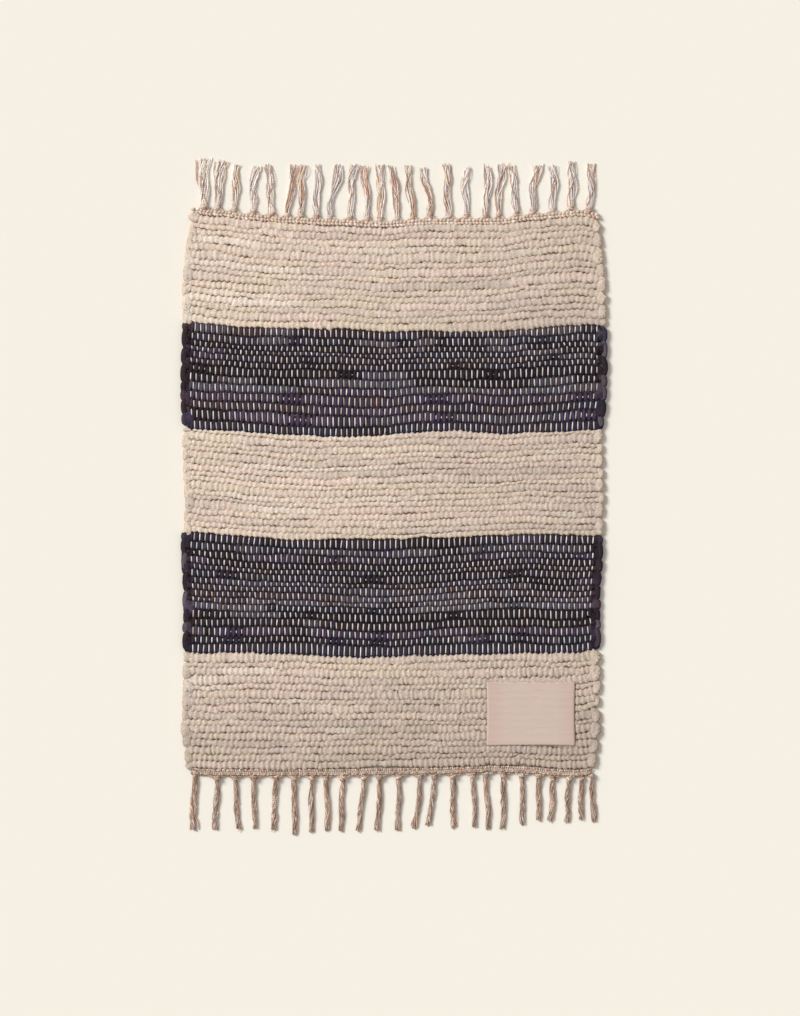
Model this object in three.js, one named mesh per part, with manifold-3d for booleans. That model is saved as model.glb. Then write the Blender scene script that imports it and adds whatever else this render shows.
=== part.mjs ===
// A hand woven rag rug, lying flat: a plain weave of thick rag weft on a thin cotton warp,
// with knotted warp tassels at both ends and a small bare patch sewn near one corner.
// Millimetres, +Z up, +Y from the near end to the far end, the underside on z = 0.

import * as THREE from 'three';
import * as BufferGeometryUtils from 'three/addons/utils/BufferGeometryUtils.js';
import Module from 'manifold-3d';

const wasm = await Module();
wasm.setup();

// Driving sizes of the cloth.
const clothWidth = 600;
const clothLength = 800;
const crestHeight = 8;
const crestSpread = 0.5;
const valleyHeight = 5.2;
const pieceGap = 0.35;

// The slow waves that push the picks along the length. Across and along are the distances
// over which a wave turns by one radian.
const waves = [
  { push: 1.6, across: 71, along: 93, start: 0 },
  { push: 1.1, across: 39, along: -58, start: 2 },
];

// How unevenly the picks share a band's length: two beats over the count of picks.
const pickBeats = [
  { share: 0.12, step: 2.4 },
  { share: 0.07, step: 5.1 },
];

// Over how much of a band's length its picks grow slim, as a share of that length.
const slimReach = 0.2;

// The roll of a crest along a pick: how fast it turns from pick to pick and across the width.
const crestRoll = { step: 1.7, across: 45 };

// The bands of the weave from the near end to the far end: natural, dark, natural, dark and
// natural rag. The turn is how far the loops of the weft stand out at the two sides. The
// picks are slimmest at one place in a band, from 0 at its near side to 1 at its far side,
// and the slimming says by how much.
const bands = [
  { length: 173, picks: 17, turn: 2.5, slim: 1, slimming: 0.12 },
  { length: 168, picks: 16, turn: 6.5, slim: 0.55, slimming: 0.22 },
  { length: 149, picks: 17, turn: 2.5, slim: 0.5, slimming: 0.04 },
  { length: 149, picks: 13, turn: 6.5, slim: 0.69, slimming: 0.4 },
  { length: 161, picks: 16, turn: 2.5, slim: 0.5, slimming: 0.04 },
];

// How far each side stands outside the straight line, at a distance from the middle of the
// length. Negative is drawn in.
const sides = [
  { along: -400, left: -9, right: -20 },
  { along: -370, left: -3, right: -14 },
  { along: -330, left: 2, right: -9 },
  { along: -250, left: 0, right: -9 },
  { along: -160, left: -1, right: -9 },
  { along: -80, left: 2, right: -5 },
  { along: -10, left: -3, right: -5 },
  { along: 85, left: 1, right: -4 },
  { along: 155, left: 3, right: 1 },
  { along: 235, left: 0, right: 1 },
  { along: 285, left: 1, right: 1 },
  { along: 350, left: -3, right: -4 },
  { along: 385, left: -9, right: -7 },
  { along: 400, left: -12, right: -11 },
];

// How far each end stands outside the straight line, at a distance from the middle of the width.
const ends = [
  { across: -300, near: -3, far: 8 },
  { across: -250, near: -1, far: 3 },
  { across: -200, near: -1, far: -3 },
  { across: -150, near: -1, far: -7 },
  { across: -90, near: -1, far: -10 },
  { across: -15, near: -2, far: -13 },
  { across: 50, near: -3, far: -9 },
  { across: 150, near: -6, far: -9 },
  { across: 195, near: -4, far: -3 },
  { across: 230, near: -1, far: 0 },
  { across: 260, near: 0, far: 3 },
  { across: 300, near: -8, far: -2 },
];

// The tassels. The root is its place across the width, the lean is how far its tip lies
// to the right of the root, and the reach is how far the tip lies from the cloth.
const farTassels = [
  { root: -270, lean: 1, reach: 68, strands: 7 },
  { root: -251, lean: 6, reach: 64, strands: 5 },
  { root: -227, lean: 4, reach: 65, strands: 5 },
  { root: -200, lean: 3, reach: 65, strands: 5 },
  { root: -173, lean: -8, reach: 70, strands: 5 },
  { root: -152, lean: 11, reach: 70, strands: 5 },
  { root: -132, lean: 4, reach: 71, strands: 5 },
  { root: -110, lean: 1, reach: 72, strands: 5 },
  { root: -91, lean: 12, reach: 71, strands: 5 },
  { root: -63, lean: 6, reach: 73, strands: 5 },
  { root: -39, lean: -3, reach: 75, strands: 5 },
  { root: -20, lean: 1, reach: 75, strands: 5 },
  { root: 4, lean: -9, reach: 73, strands: 5 },
  { root: 26, lean: -9, reach: 72, strands: 5 },
  { root: 50, lean: -8, reach: 66, strands: 5 },
  { root: 78, lean: -7, reach: 72, strands: 5 },
  { root: 101, lean: 1, reach: 67, strands: 5 },
  { root: 129, lean: 4, reach: 70, strands: 5 },
  { root: 147, lean: 3, reach: 75, strands: 5 },
  { root: 172, lean: -7, reach: 65, strands: 5 },
  { root: 196, lean: 4, reach: 63, strands: 5 },
  { root: 224, lean: 0, reach: 60, strands: 5 },
  { root: 250, lean: 1, reach: 64, strands: 5 },
  { root: 276, lean: 4, reach: 65, strands: 7 },
];

const nearTassels = [
  { root: -282, lean: -4, reach: 76, strands: 7 },
  { root: -251, lean: -3, reach: 69, strands: 5 },
  { root: -226, lean: 6, reach: 68, strands: 5 },
  { root: -199, lean: 1, reach: 67, strands: 5 },
  { root: -168, lean: -4, reach: 69, strands: 5 },
  { root: -142, lean: 1, reach: 76, strands: 5 },
  { root: -117, lean: -1, reach: 72, strands: 5 },
  { root: -97, lean: 3, reach: 72, strands: 5 },
  { root: -73, lean: -4, reach: 71, strands: 5 },
  { root: -43, lean: -9, reach: 71, strands: 5 },
  { root: -21, lean: -3, reach: 72, strands: 5 },
  { root: 6, lean: -1, reach: 72, strands: 5 },
  { root: 36, lean: -7, reach: 71, strands: 5 },
  { root: 56, lean: -8, reach: 66, strands: 5 },
  { root: 83, lean: 0, reach: 68, strands: 5 },
  { root: 111, lean: 3, reach: 71, strands: 5 },
  { root: 129, lean: 4, reach: 74, strands: 5 },
  { root: 154, lean: -1, reach: 74, strands: 5 },
  { root: 180, lean: 1, reach: 65, strands: 5 },
  { root: 204, lean: 0, reach: 59, strands: 5 },
  { root: 224, lean: -3, reach: 61, strands: 5 },
  { root: 247, lean: -4, reach: 61, strands: 5 },
  { root: 265, lean: -2, reach: 59, strands: 4 },
  { root: 279, lean: 3, reach: 66, strands: 4 },
];

// Each end's tassels: which way they lie along Y, and how far their strands fan out.
const fringes = [
  { name: 'fringe_far', side: 'far', direction: 1, tassels: farTassels, fan: 1.35, wave: 1.6 },
  { name: 'fringe_near', side: 'near', direction: -1, tassels: nearTassels, fan: 1.1, wave: 0.8 },
];

// The knotted row along each end, the tassels' knots and the strands below them. Out is a
// distance from the cloth.
const knotRow = { width: 4.5, shoulder: 2.6, height: 4.4 };
const knot = {
  end: 12,
  bulge: 0.4,
  spare: 0.1,
  sections: [
    { out: 3.6, halfWidth: 2.8, height: 2.2 },
    { out: 8, halfWidth: 5.2, height: 6.6 },
    { out: 12, halfWidth: 5, height: 5.2 },
  ],
  ring: [
    { across: -1, up: 0 },
    { across: -0.8, up: 0.66 },
    { across: 0, up: 1 },
    { across: 0.8, up: 0.66 },
    { across: 1, up: 0 },
  ],
};
const strand = { width: 1.4, height: 2.5, crown: 1.1, spacing: 1.8, segments: 4, curl: 1.3, cut: 0.05 };

// The sewn patch, by its middle. The bow is how far its edges curve in.
const patch = { x: 193, y: -310, width: 126, length: 92, thickness: 1, bow: 1.2, corner: 2 };

const weaveMaterial = new THREE.MeshStandardMaterial({ color: '#a99a90', roughness: 0.95, metalness: 0 });
const warpMaterial = new THREE.MeshStandardMaterial({ color: '#a98d80', roughness: 0.9, metalness: 0 });
const patchMaterial = new THREE.MeshStandardMaterial({ color: '#dcc0aa', roughness: 0.9, metalness: 0 });

// A smooth value between the rows of a table, by one column, at a place in another column.
function between(table, key, column, place) {
  const last = table.length - 1;
  let row = 0;
  while (row < last - 1 && place > table[row + 1][key]) {
    row += 1;
  }
  const low = table[row];
  const high = table[row + 1];
  const share = THREE.MathUtils.smoothstep(place, low[key], high[key]);
  return THREE.MathUtils.lerp(low[column], high[column], share);
}

// The two ends of the cloth at a place across the width.
function endY(side, x) {
  const offset = between(ends, 'across', side, x);
  return side === 'far' ? clothLength / 2 + offset : -clothLength / 2 - offset;
}

// The slow wander of the picks: how far the weave is pushed along Y at a place in the cloth.
function wander(x, y) {
  const pushes = waves.map(({ push, across, along, start }) => (
    push * Math.sin(x / across + y / along + start)
  ));
  return pushes.reduce((sum, push) => sum + push, 0);
}

// The picks from the near end to the far end: where each starts and how deep it is.
function pickLines() {
  const lines = [];
  let start = -clothLength / 2;
  for (const band of bands) {
    const widths = [];
    for (let pick = 0; pick < band.picks; pick += 1) {
      const beats = pickBeats.map(({ share, step }) => share * Math.sin((lines.length + pick) * step));
      const away = ((pick + 0.5) / band.picks - band.slim) / slimReach;
      const plain = 1 - band.slimming * Math.exp(-away * away);
      widths.push(beats.reduce((sum, beat) => sum + beat, plain));
    }
    const total = widths.reduce((sum, width) => sum + width, 0);
    let y = start;
    for (const [pick, width] of widths.entries()) {
      const depth = (width / total) * band.length;
      lines.push({ y, depth, band, turn: pick });
      y += depth;
    }
    start += band.length;
  }
  return lines;
}

// How quickly the wander grows from the straight ends into the cloth.
const wanderFade = 8;

// A place in the cloth: across is -1 to 1 from side to side, y is where it would lie if the
// ends were straight. Near the ends the wander dies out and the end's own curve takes over.
function clothPoint(across, y, turnOut) {
  const column = across < 0 ? 'left' : 'right';
  const outset = between(sides, 'along', column, y) + turnOut;
  const x = across * (clothWidth / 2 + outset);
  const share = (y + clothLength / 2) / clothLength;
  const inside = Math.min(1, wanderFade * share * (1 - share));
  const curve = THREE.MathUtils.lerp(
    endY('near', x) + clothLength / 2,
    endY('far', x) - clothLength / 2,
    share,
  );
  return { x, y: y + curve + inside * wander(x, y) };
}

// A geometry from points and triangles that share those points.
function meshFrom(points, triangles) {
  const geometry = new THREE.BufferGeometry();
  geometry.setAttribute('position', new THREE.Float32BufferAttribute(points.flat(), 3));
  geometry.setIndex(triangles);
  return geometry;
}

// The columns of the cloth from side to side, close together at the rounded sides.
const rimColumns = [
  { across: 1, rise: 0 },
  { across: 0.992, rise: 0.6 },
  { across: 0.975, rise: 1 },
];
const innerColumns = [-0.78, -0.55, -0.28, 0, 0.28, 0.55, 0.78];
const columns = [
  ...rimColumns.map(({ across, rise }) => ({ across: -across, rise, rim: true })),
  ...innerColumns.map((across) => ({ across, rise: 1, rim: false })),
  ...rimColumns.map(({ across, rise }) => ({ across, rise, rim: true })).reverse(),
];

// The section of a pick along the cloth: up from a valley to a crest and down again.
const ridge = [
  { at: 0, crest: 0 },
  { at: 0.3, crest: 1 },
  { at: 0.7, crest: 1 },
];

// The top of the cloth, row by row from the near end to the far end.
function clothRows() {
  const lines = pickLines();
  const stations = lines.flatMap((line, number) => ridge.map((step) => ({ ...step, number, line })));
  const number = lines.length - 1;
  stations.push({ at: 1, crest: 0, number, line: lines[number] });
  return stations.map((station) => columns.map((column) => {
    const { at, crest, line } = station;
    const phase = (line.turn + at + (column.across > 0 ? 1 : 0)) / 2;
    const loop = Math.abs(Math.sin(Math.PI * phase)) - 1;
    const turnOut = column.rim ? line.band.turn * loop : 0;
    const place = clothPoint(column.across, line.y + at * line.depth, turnOut);
    const roll = (1 + Math.sin(station.number * crestRoll.step + place.x / crestRoll.across)) / 2;
    const top = THREE.MathUtils.lerp(valleyHeight, crestHeight - crestSpread * roll, crest);
    return [place.x, place.y, top * column.rise];
  }));
}

const cloth = clothRows();
const clothEnds = { near: cloth[0], far: cloth[cloth.length - 1] };

// The woven cloth: a ridge for each pick on top, rounded sides and a flat underside.
function clothGeometry() {
  const points = cloth.flat();
  const wide = columns.length;
  const lastRow = (cloth.length - 1) * wide;
  const triangles = [];
  for (let row = 0; row < cloth.length - 1; row += 1) {
    for (let column = 0; column < wide - 1; column += 1) {
      const a = row * wide + column;
      const d = a + wide;
      triangles.push(a, a + 1, d + 1, a, d + 1, d);
    }
  }

  // The two end walls drop from the first and last rows to points on the floor.
  const floorPoint = new Map();
  for (const first of [0, lastRow]) {
    for (let column = 1; column < wide - 1; column += 1) {
      floorPoint.set(first + column, points.length);
      const [x, y] = points[first + column];
      points.push([x, y, 0]);
    }
  }
  const below = (index) => floorPoint.get(index) ?? index;
  for (const first of [0, lastRow]) {
    for (let column = 0; column < wide - 1; column += 1) {
      const a = first + column + (first === 0 ? 0 : 1);
      const b = first + column + (first === 0 ? 1 : 0);
      if (below(b) !== b) {
        triangles.push(below(a), below(b), b);
      }
      if (below(a) !== a) {
        triangles.push(below(a), b, a);
      }
    }
  }

  // The underside is the outline of the cloth, filled in.
  const outline = [];
  for (let column = 0; column < wide; column += 1) {
    outline.push(below(column));
  }
  for (let row = 1; row < cloth.length; row += 1) {
    outline.push(row * wide + wide - 1);
  }
  for (let column = wide - 2; column >= 0; column -= 1) {
    outline.push(below(lastRow + column));
  }
  for (let row = cloth.length - 2; row > 0; row -= 1) {
    outline.push(row * wide);
  }
  const contour = outline.map((index) => new THREE.Vector2(points[index][0], points[index][1]));
  for (const [a, b, c] of THREE.ShapeUtils.triangulateShape(contour, [])) {
    triangles.push(outline[a], outline[c], outline[b]);
  }
  return meshFrom(points, triangles);
}

// A closed body swept through stations, each a ring of points in the same order.
function sweep(rings) {
  const around = rings[0].length;
  const points = rings.flat();
  const triangles = [];
  for (let step = 0; step < rings.length - 1; step += 1) {
    for (let side = 0; side < around; side += 1) {
      const a = step * around + side;
      const b = step * around + ((side + 1) % around);
      triangles.push(a, b, b + around, a, b + around, a + around);
    }
  }
  const end = (rings.length - 1) * around;
  for (let side = 1; side < around - 1; side += 1) {
    triangles.push(0, side + 1, side);
    triangles.push(end, end + side, end + side + 1);
  }
  return meshFrom(points, triangles);
}

// A geometry as a solid that can be joined, and a joined solid as a geometry.
function toSolid(geometry) {
  const bare = geometry.clone();
  bare.deleteAttribute('normal');
  bare.deleteAttribute('uv');
  const merged = BufferGeometryUtils.mergeVertices(bare);
  return new wasm.Manifold(new wasm.Mesh({
    numProp: 3,
    vertProperties: new Float32Array(merged.attributes.position.array),
    triVerts: new Uint32Array(merged.index.array),
  }));
}

function toGeometry(solid) {
  const mesh = solid.getMesh();
  const geometry = new THREE.BufferGeometry();
  geometry.setAttribute('position', new THREE.Float32BufferAttribute(mesh.vertProperties, 3));
  geometry.setIndex(Array.from(mesh.triVerts));
  return geometry;
}

// The line just off the end of the cloth, which the knotted row follows.
function edgeY(fringe, x) {
  const row = clothEnds[fringe.side];
  let column = 0;
  while (column < row.length - 2 && x > row[column + 1][0]) {
    column += 1;
  }
  const [lowX, lowY] = row[column];
  const [highX, highY] = row[column + 1];
  const share = (x - lowX) / (highX - lowX);
  return THREE.MathUtils.lerp(lowY, highY, share) + fringe.direction * pieceGap;
}

// The knotted row: a low ridge lying along the end of the cloth, from the first tassel to
// the last.
function knotRowGeometry(fringe) {
  const overhang = knot.sections[1].halfWidth;
  const from = fringe.tassels[0].root - overhang;
  const to = fringe.tassels[fringe.tassels.length - 1].root + overhang;
  const turns = clothEnds[fringe.side].map(([x]) => x).filter((x) => x > from && x < to);
  const marks = [from, ...turns, to];
  const stations = marks.flatMap((x, index) => (index === 0 ? [x] : [(marks[index - 1] + x) / 2, x]));
  const rings = stations.map((x) => {
    const inner = edgeY(fringe, x);
    const outward = (distance) => inner + fringe.direction * distance;
    const ring = [
      [x, outward(0), 0],
      [x, outward(knotRow.width), 0],
      [x, outward(knotRow.width), knotRow.shoulder],
      [x, outward(knotRow.width / 2), knotRow.height],
      [x, outward(0), knotRow.shoulder],
    ];
    return fringe.direction > 0 ? ring : ring.reverse();
  });
  return sweep(rings);
}

// One strand's ring of points at a share of the way to its tip: two on the floor and a ridge.
// Out is the distance from the cloth.
function strandRing(fringe, tassel, order, share) {
  const middle = (tassel.strands - 1) / 2;
  const place = order - middle;
  const crown = strand.crown * (1 - Math.abs(place) / (middle + 0.5));
  const cut = 1 - strand.cut * (1 + Math.sin(order * strand.curl + tassel.root));
  const fan = THREE.MathUtils.lerp(1, fringe.fan, share);
  const swing = fringe.wave * Math.sin(share * Math.PI * strand.curl + tassel.root) * share;
  const bend = tassel.lean * share ** strand.curl;
  const x = tassel.root + bend + place * strand.spacing * fan + swing;
  const bulge = knot.bulge * (1 - (2 * place / tassel.strands) ** 2) * (1 - share);
  const out = knot.end + bulge + (tassel.reach - knot.end) * share * cut;
  return [
    [x - strand.width / 2, out, 0],
    [x + strand.width / 2, out, 0],
    [x, out, strand.height + crown],
  ];
}

// A tassel as one closed body: its knot, flat underneath, and the strands that leave the
// knot's outer face.
function tasselGeometry(fringe, tassel) {
  const size = (tassel.strands * strand.spacing) / (2 * knot.sections[2].halfWidth) + knot.spare;
  const points = [];
  const triangles = [];
  for (const { out, halfWidth, height } of knot.sections) {
    for (const { across, up } of knot.ring) {
      points.push([tassel.root + across * halfWidth * size, out, up * height]);
    }
  }
  const around = knot.ring.length;
  for (let section = 0; section < knot.sections.length - 1; section += 1) {
    for (let side = 0; side < around - 1; side += 1) {
      const a = section * around + side;
      const d = a + around;
      triangles.push(a, a + 1, d + 1, a, d + 1, d);
    }
  }
  triangles.push(0, 2, 1, 0, 3, 2, 0, 4, 3);

  // The strands, each from its own three points on the knot's outer face.
  const face = knot.sections.length * around - around;
  const foot = [];
  const saw = [];
  for (let order = 0; order < tassel.strands; order += 1) {
    const first = points.length;
    for (let step = 0; step <= strand.segments; step += 1) {
      points.push(...strandRing(fringe, tassel, order, step / strand.segments));
    }
    for (let step = 0; step < strand.segments; step += 1) {
      for (let side = 0; side < 3; side += 1) {
        const a = first + step * 3 + side;
        const b = first + step * 3 + ((side + 1) % 3);
        triangles.push(a, a + 3, b + 3, a, b + 3, b);
      }
    }
    const tip = first + strand.segments * 3;
    triangles.push(tip, tip + 2, tip + 1);
    foot.push(first, first + 1);
    saw.push(first, first + 2, first + 1);
  }

  // The knot's underside, and its outer face around the strands.
  const under = [0, 4, ...[...knot.sections.keys()].slice(1).map((section) => section * around + 4)];
  under.push(...foot.reverse(), face);
  for (let section = knot.sections.length - 2; section > 0; section -= 1) {
    under.push(section * around);
  }
  for (let index = 1; index < under.length - 1; index += 1) {
    triangles.push(under[0], under[index + 1], under[index]);
  }
  const front = [face, ...saw, face + 4, face + 3, face + 2, face + 1];
  const contour = front.map((index) => new THREE.Vector2(points[index][0], points[index][2]));
  for (const [a, b, c] of THREE.ShapeUtils.triangulateShape(contour, [])) {
    triangles.push(front[a], front[c], front[b]);
  }

  const edge = edgeY(fringe, tassel.root);
  const placed = points.map(([x, out, z]) => [x, edge + fringe.direction * out, z]);
  return meshFrom(placed, fringe.direction > 0 ? triangles : triangles.reverse());
}

// One end's fringe: the knotted row with every tassel joined to it.
function fringeGeometry(fringe) {
  let solid = toSolid(knotRowGeometry(fringe));
  for (const tassel of fringe.tassels) {
    solid = solid.add(toSolid(tasselGeometry(fringe, tassel)));
  }
  return toGeometry(solid);
}

// The patch: a thin rectangle with drawn in edges and rounded corners.
function patchGeometry() {
  const right = patch.width / 2;
  const top = patch.length / 2;
  const { bow, corner } = patch;
  const shape = new THREE.Shape();
  shape.moveTo(-right + corner, -top);
  shape.quadraticCurveTo(0, -top + bow, right - corner, -top);
  shape.quadraticCurveTo(right, -top, right, -top + corner);
  shape.quadraticCurveTo(right - bow, 0, right, top - corner);
  shape.quadraticCurveTo(right, top, right - corner, top);
  shape.quadraticCurveTo(0, top - bow, -right + corner, top);
  shape.quadraticCurveTo(-right, top, -right, top - corner);
  shape.quadraticCurveTo(-right + bow, 0, -right, -top + corner);
  shape.quadraticCurveTo(-right, -top, -right + corner, -top);
  return new THREE.ExtrudeGeometry(shape, {
    depth: patch.thickness,
    bevelEnabled: false,
    curveSegments: 4,
  });
}

// A named piece of the rug.
function piece(name, geometry, material) {
  const mesh = new THREE.Mesh(geometry, material);
  mesh.name = name;
  return mesh;
}

const rug = new THREE.Group();
rug.add(piece('rug_body', clothGeometry(), weaveMaterial));
for (const fringe of fringes) {
  rug.add(piece(fringe.name, fringeGeometry(fringe), warpMaterial));
}
const label = piece('label', patchGeometry(), patchMaterial);
label.position.set(patch.x, patch.y, crestHeight + pieceGap);
rug.add(label);

// The whole rug lies with the middle of its reach over the origin.
const middle = new THREE.Box3().setFromObject(rug).getCenter(new THREE.Vector3());
rug.position.set(-middle.x, -middle.y, 0);

const model = new THREE.Group();
model.add(rug);
export default model;
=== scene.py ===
"""A hand woven chindi rug: rag weft over cotton warp, knotted tassels and a bare sewn patch."""

import math
from functools import partial

import bpy
import numpy as np
from bpy.props import FloatProperty, FloatVectorProperty, IntProperty, PointerProperty
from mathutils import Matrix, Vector


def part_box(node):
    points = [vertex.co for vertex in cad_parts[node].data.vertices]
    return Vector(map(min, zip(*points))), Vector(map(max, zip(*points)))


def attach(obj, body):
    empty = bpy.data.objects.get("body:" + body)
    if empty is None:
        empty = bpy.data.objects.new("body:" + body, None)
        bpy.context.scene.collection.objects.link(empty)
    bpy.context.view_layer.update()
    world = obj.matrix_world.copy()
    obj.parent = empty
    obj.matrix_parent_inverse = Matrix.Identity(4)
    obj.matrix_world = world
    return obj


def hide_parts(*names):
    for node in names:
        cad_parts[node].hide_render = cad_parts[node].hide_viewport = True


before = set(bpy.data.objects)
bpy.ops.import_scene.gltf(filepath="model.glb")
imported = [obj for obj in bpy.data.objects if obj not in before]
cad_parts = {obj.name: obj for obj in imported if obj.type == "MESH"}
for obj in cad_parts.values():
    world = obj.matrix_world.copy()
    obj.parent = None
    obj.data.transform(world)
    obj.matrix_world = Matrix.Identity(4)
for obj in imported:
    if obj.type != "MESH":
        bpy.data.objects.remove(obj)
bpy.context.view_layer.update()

bl_info = {
    "name": "Chindi Rug",
    "version": (1, 0, 0),
    "blender": (4, 5, 0),
    "location": "View3D > Sidebar > Chindi Rug",
    "description": "Weaves a rag rug with knotted tassels over its plain solids",
    "category": "Add Mesh",
}

MM = 0.001


def table_rows(names, *values, **defaults):
    """The rows of a table as dicts, from the names of its columns."""
    return tuple({**defaults, **dict(zip(names.split(), row))} for row in values)


# The bands of the weave from the near end to the far end, in millimetres. The picks are slimmest
# at one place in a band, from 0 at its near side to 1 at its far side, by so large a share. The
# relief is how deep the warp pulls the weft in.
BANDS = table_rows(
    "name yarn length picks slim slimming relief",
    ("natural_near", "natural", 173, 17, 1.0, 0.12, 1.15),
    ("dark_near", "dark", 168, 16, 0.55, 0.22, 1.0),
    ("natural_middle", "natural", 149, 17, 0.5, 0.04, 0.95),
    ("dark_far", "dark", 149, 13, 0.69, 0.4, 1.0),
    ("natural_far", "natural", 161, 16, 0.5, 0.04, 0.8),
)
# Which lot of dark rag each pick is mostly woven with, from the near side of a band on.
DARK_PICKS = {
    "dark_near": (
        "ink ink violet black black slate slate aubergine "
        "aubergine violet ink aubergine black violet slate ink"
    ).split(),
    "dark_far": "ink violet aubergine violet slate slate black aubergine ink black black ink slate".split(),
}
SLIM_REACH = 0.2
# The first pick of the near dark band is beaten in loosely.
WIDE_PICKS = {"dark_near": {0: 1.5}}
PICK_BEATS = table_rows("share step", (0.12, 2.4), (0.07, 5.1))
# How unevenly the picks are beaten in, and how far the unevenness may go.
UNEVEN_PICKS = {"natural": 0.09, "dark": 0.07}
UNEVEN_REACH = (-0.22, 0.26)
UNEVEN_SEED = 17
# The slow waves of the weave: how far they push it and how long they are, in millimetres.
WAVES = table_rows("push across along start", (1.6, 71, 93, 0), (1.1, 39, -58, 2))
WANDER_FADE = 8
CREST_ROLL = {"step": 1.7, "across": 45}

# How far each side stands outside the straight line, at a distance from the middle of the
# length, and how far each end does, at a distance from the middle of the width, in millimetres.
SIDES = table_rows(
    "along left right",
    (-400, -9, -20), (-370, -3, -14), (-330, 2, -8), (-250, 0, -8), (-160, -1, -9), (-80, 2, -5),
    (-10, -3, -2.5), (85, 1, -4), (155, 3, 1), (235, 0, 1), (285, 1, 1), (350, -3, -4),
    (385, -9, -7), (400, -12, -11),
)
ENDS = table_rows(
    "across near far",
    (-300, -3, 8), (-250, -1, 3), (-200, -1, -3), (-150, -1, -7), (-90, -1, -10), (-15, -2, -13),
    (50, -3, -9), (150, -6, -9), (195, -4, -3), (230, -1, 0), (260, 0, 3), (300, -8, -2),
)

# The tassels: the place of the knot across the width, how far the tip lies to the right of it,
# how far the tip lies from the cloth, how thick the bundle is, and for one how far its knot lies
# out and how big it is. Millimetres.
FAR_TASSELS = table_rows(
    "root lean reach bulk",
    (-270, 1, 70, 2.4), (-251, 6, 68, 1.8), (-227, 4, 66), (-200, 3, 67), (-173, -8, 71),
    (-152, 11, 74), (-132, 4, 73), (-110, 1, 76), (-91, 12, 76), (-63, 6, 77), (-39, -3, 77),
    (-20, 1, 80), (4, -9, 77), (26, -9, 76), (50, -8, 71), (78, -7, 77), (101, 1, 71),
    (129, 4, 74), (147, 3, 77), (172, -7, 71), (196, 4, 69), (224, 0, 66), (250, 1, 69),
    (276, 4, 67, 1.4),
    bulk=1.0,
)
NEAR_TASSELS = table_rows(
    "root lean reach bulk out knot",
    (-282, -4, 76, 1.9, -5, 0.6), (-251, -3, 75), (-226, 6, 74), (-199, 1, 73), (-168, -4, 75),
    (-142, 1, 82), (-117, -1, 78), (-97, 3, 77), (-73, -4, 77), (-43, -9, 77), (-21, -3, 77),
    (6, -1, 77), (36, -7, 75), (56, -8, 71), (83, 0, 74), (111, 3, 75), (129, 4, 79),
    (154, -1, 79), (180, 1, 71), (204, 0, 64), (224, -3, 62), (247, -4, 63), (265, -2, 60, 0.8),
    (279, 3, 66, 0.8),
    bulk=1.0,
)

# The two fringes: which way they lie along Y, their tassels and the seed of their dice, the
# darkest shade of the strands, how many a plain tassel has, how far they stray, how far a tassel
# waves and its strands turn about each other, how big the knots are and how far they lie from
# the cloth, how thick a strand is, how far the side strands and the top ones lie from a tassel's
# middle, how many thin plies are wound over a tassel, how light the core of the twined row is,
# how much the string's shade changes, how short and long its lots are, how light the tassels
# are, and the sizes of the row's floats. Millimetres.
FRINGES = {
    "far": {
        "direction": 1, "tassels": FAR_TASSELS, "seed": 61, "mottle": 0.92, "strands": 8,
        "loose": 2.2, "sway": 3.8, "twist": 2.5, "knot": 1.0, "out": 3.0, "strand": 2.0,
        "half_width": 4.1, "half_height": 1.5, "plies": 3, "row_light": 1.2, "grain": 0.12,
        "lot": (30, 80), "light": 1.17,
        "float": {"step": 5.2, "half_length": 2.4, "half_rise": 1.0, "radius": 2.3, "height": 5.4},
    },
    "near": {
        "direction": -1, "tassels": NEAR_TASSELS, "seed": 62, "mottle": 0.62, "strands": 9,
        "loose": 0.5, "sway": 1.8, "twist": 12.0, "knot": 1.2, "out": 2.2, "strand": 1.8,
        "half_width": 2.6, "half_height": 1.6, "plies": 5, "row_light": 0.75, "grain": 0.5,
        "lot": (3, 9), "light": 1.22,
        "float": {"step": 2.7, "half_length": 1.5, "half_rise": 1.9, "radius": 1.25, "height": 5.0},
    },
}

# The middle of the patch in the cloth, in millimetres. The solids' origin is the middle of the
# rug's reach, and the patch tells where the middle of the cloth lies from it.
PATCH_PLACE = (193, -310)
PATCH_LOW, PATCH_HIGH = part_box("label")
CLOTH_MIDDLE = (PATCH_LOW + PATCH_HIGH) / 2 - Vector((PATCH_PLACE[0] * MM, PATCH_PLACE[1] * MM, 0))


def linear(code):
    """An sRGB hex colour as linear red, green and blue."""
    shares = [int(code[place:place + 2], 16) / 255 for place in (1, 3, 5)]
    return tuple(c / 12.92 if c <= 0.04045 else ((c + 0.055) / 1.055) ** 2.4 for c in shares)


def length(name, default, description):
    """A property that holds a length."""
    return FloatProperty(name=name, description=description, default=default, min=0, unit="LENGTH")


def share(name, default, description):
    """A property that holds a share."""
    return FloatProperty(name=name, description=description, default=default, min=0, subtype="FACTOR")


def amount(name, default, description):
    """A property that holds a plain number."""
    return FloatProperty(name=name, description=description, default=default, min=0)


def dye(name, code, description):
    """A property that holds a colour, given as sRGB hex."""
    return FloatVectorProperty(
        name=name, description=description, default=linear(code), size=3, min=0, max=1, subtype="COLOR"
    )


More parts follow.
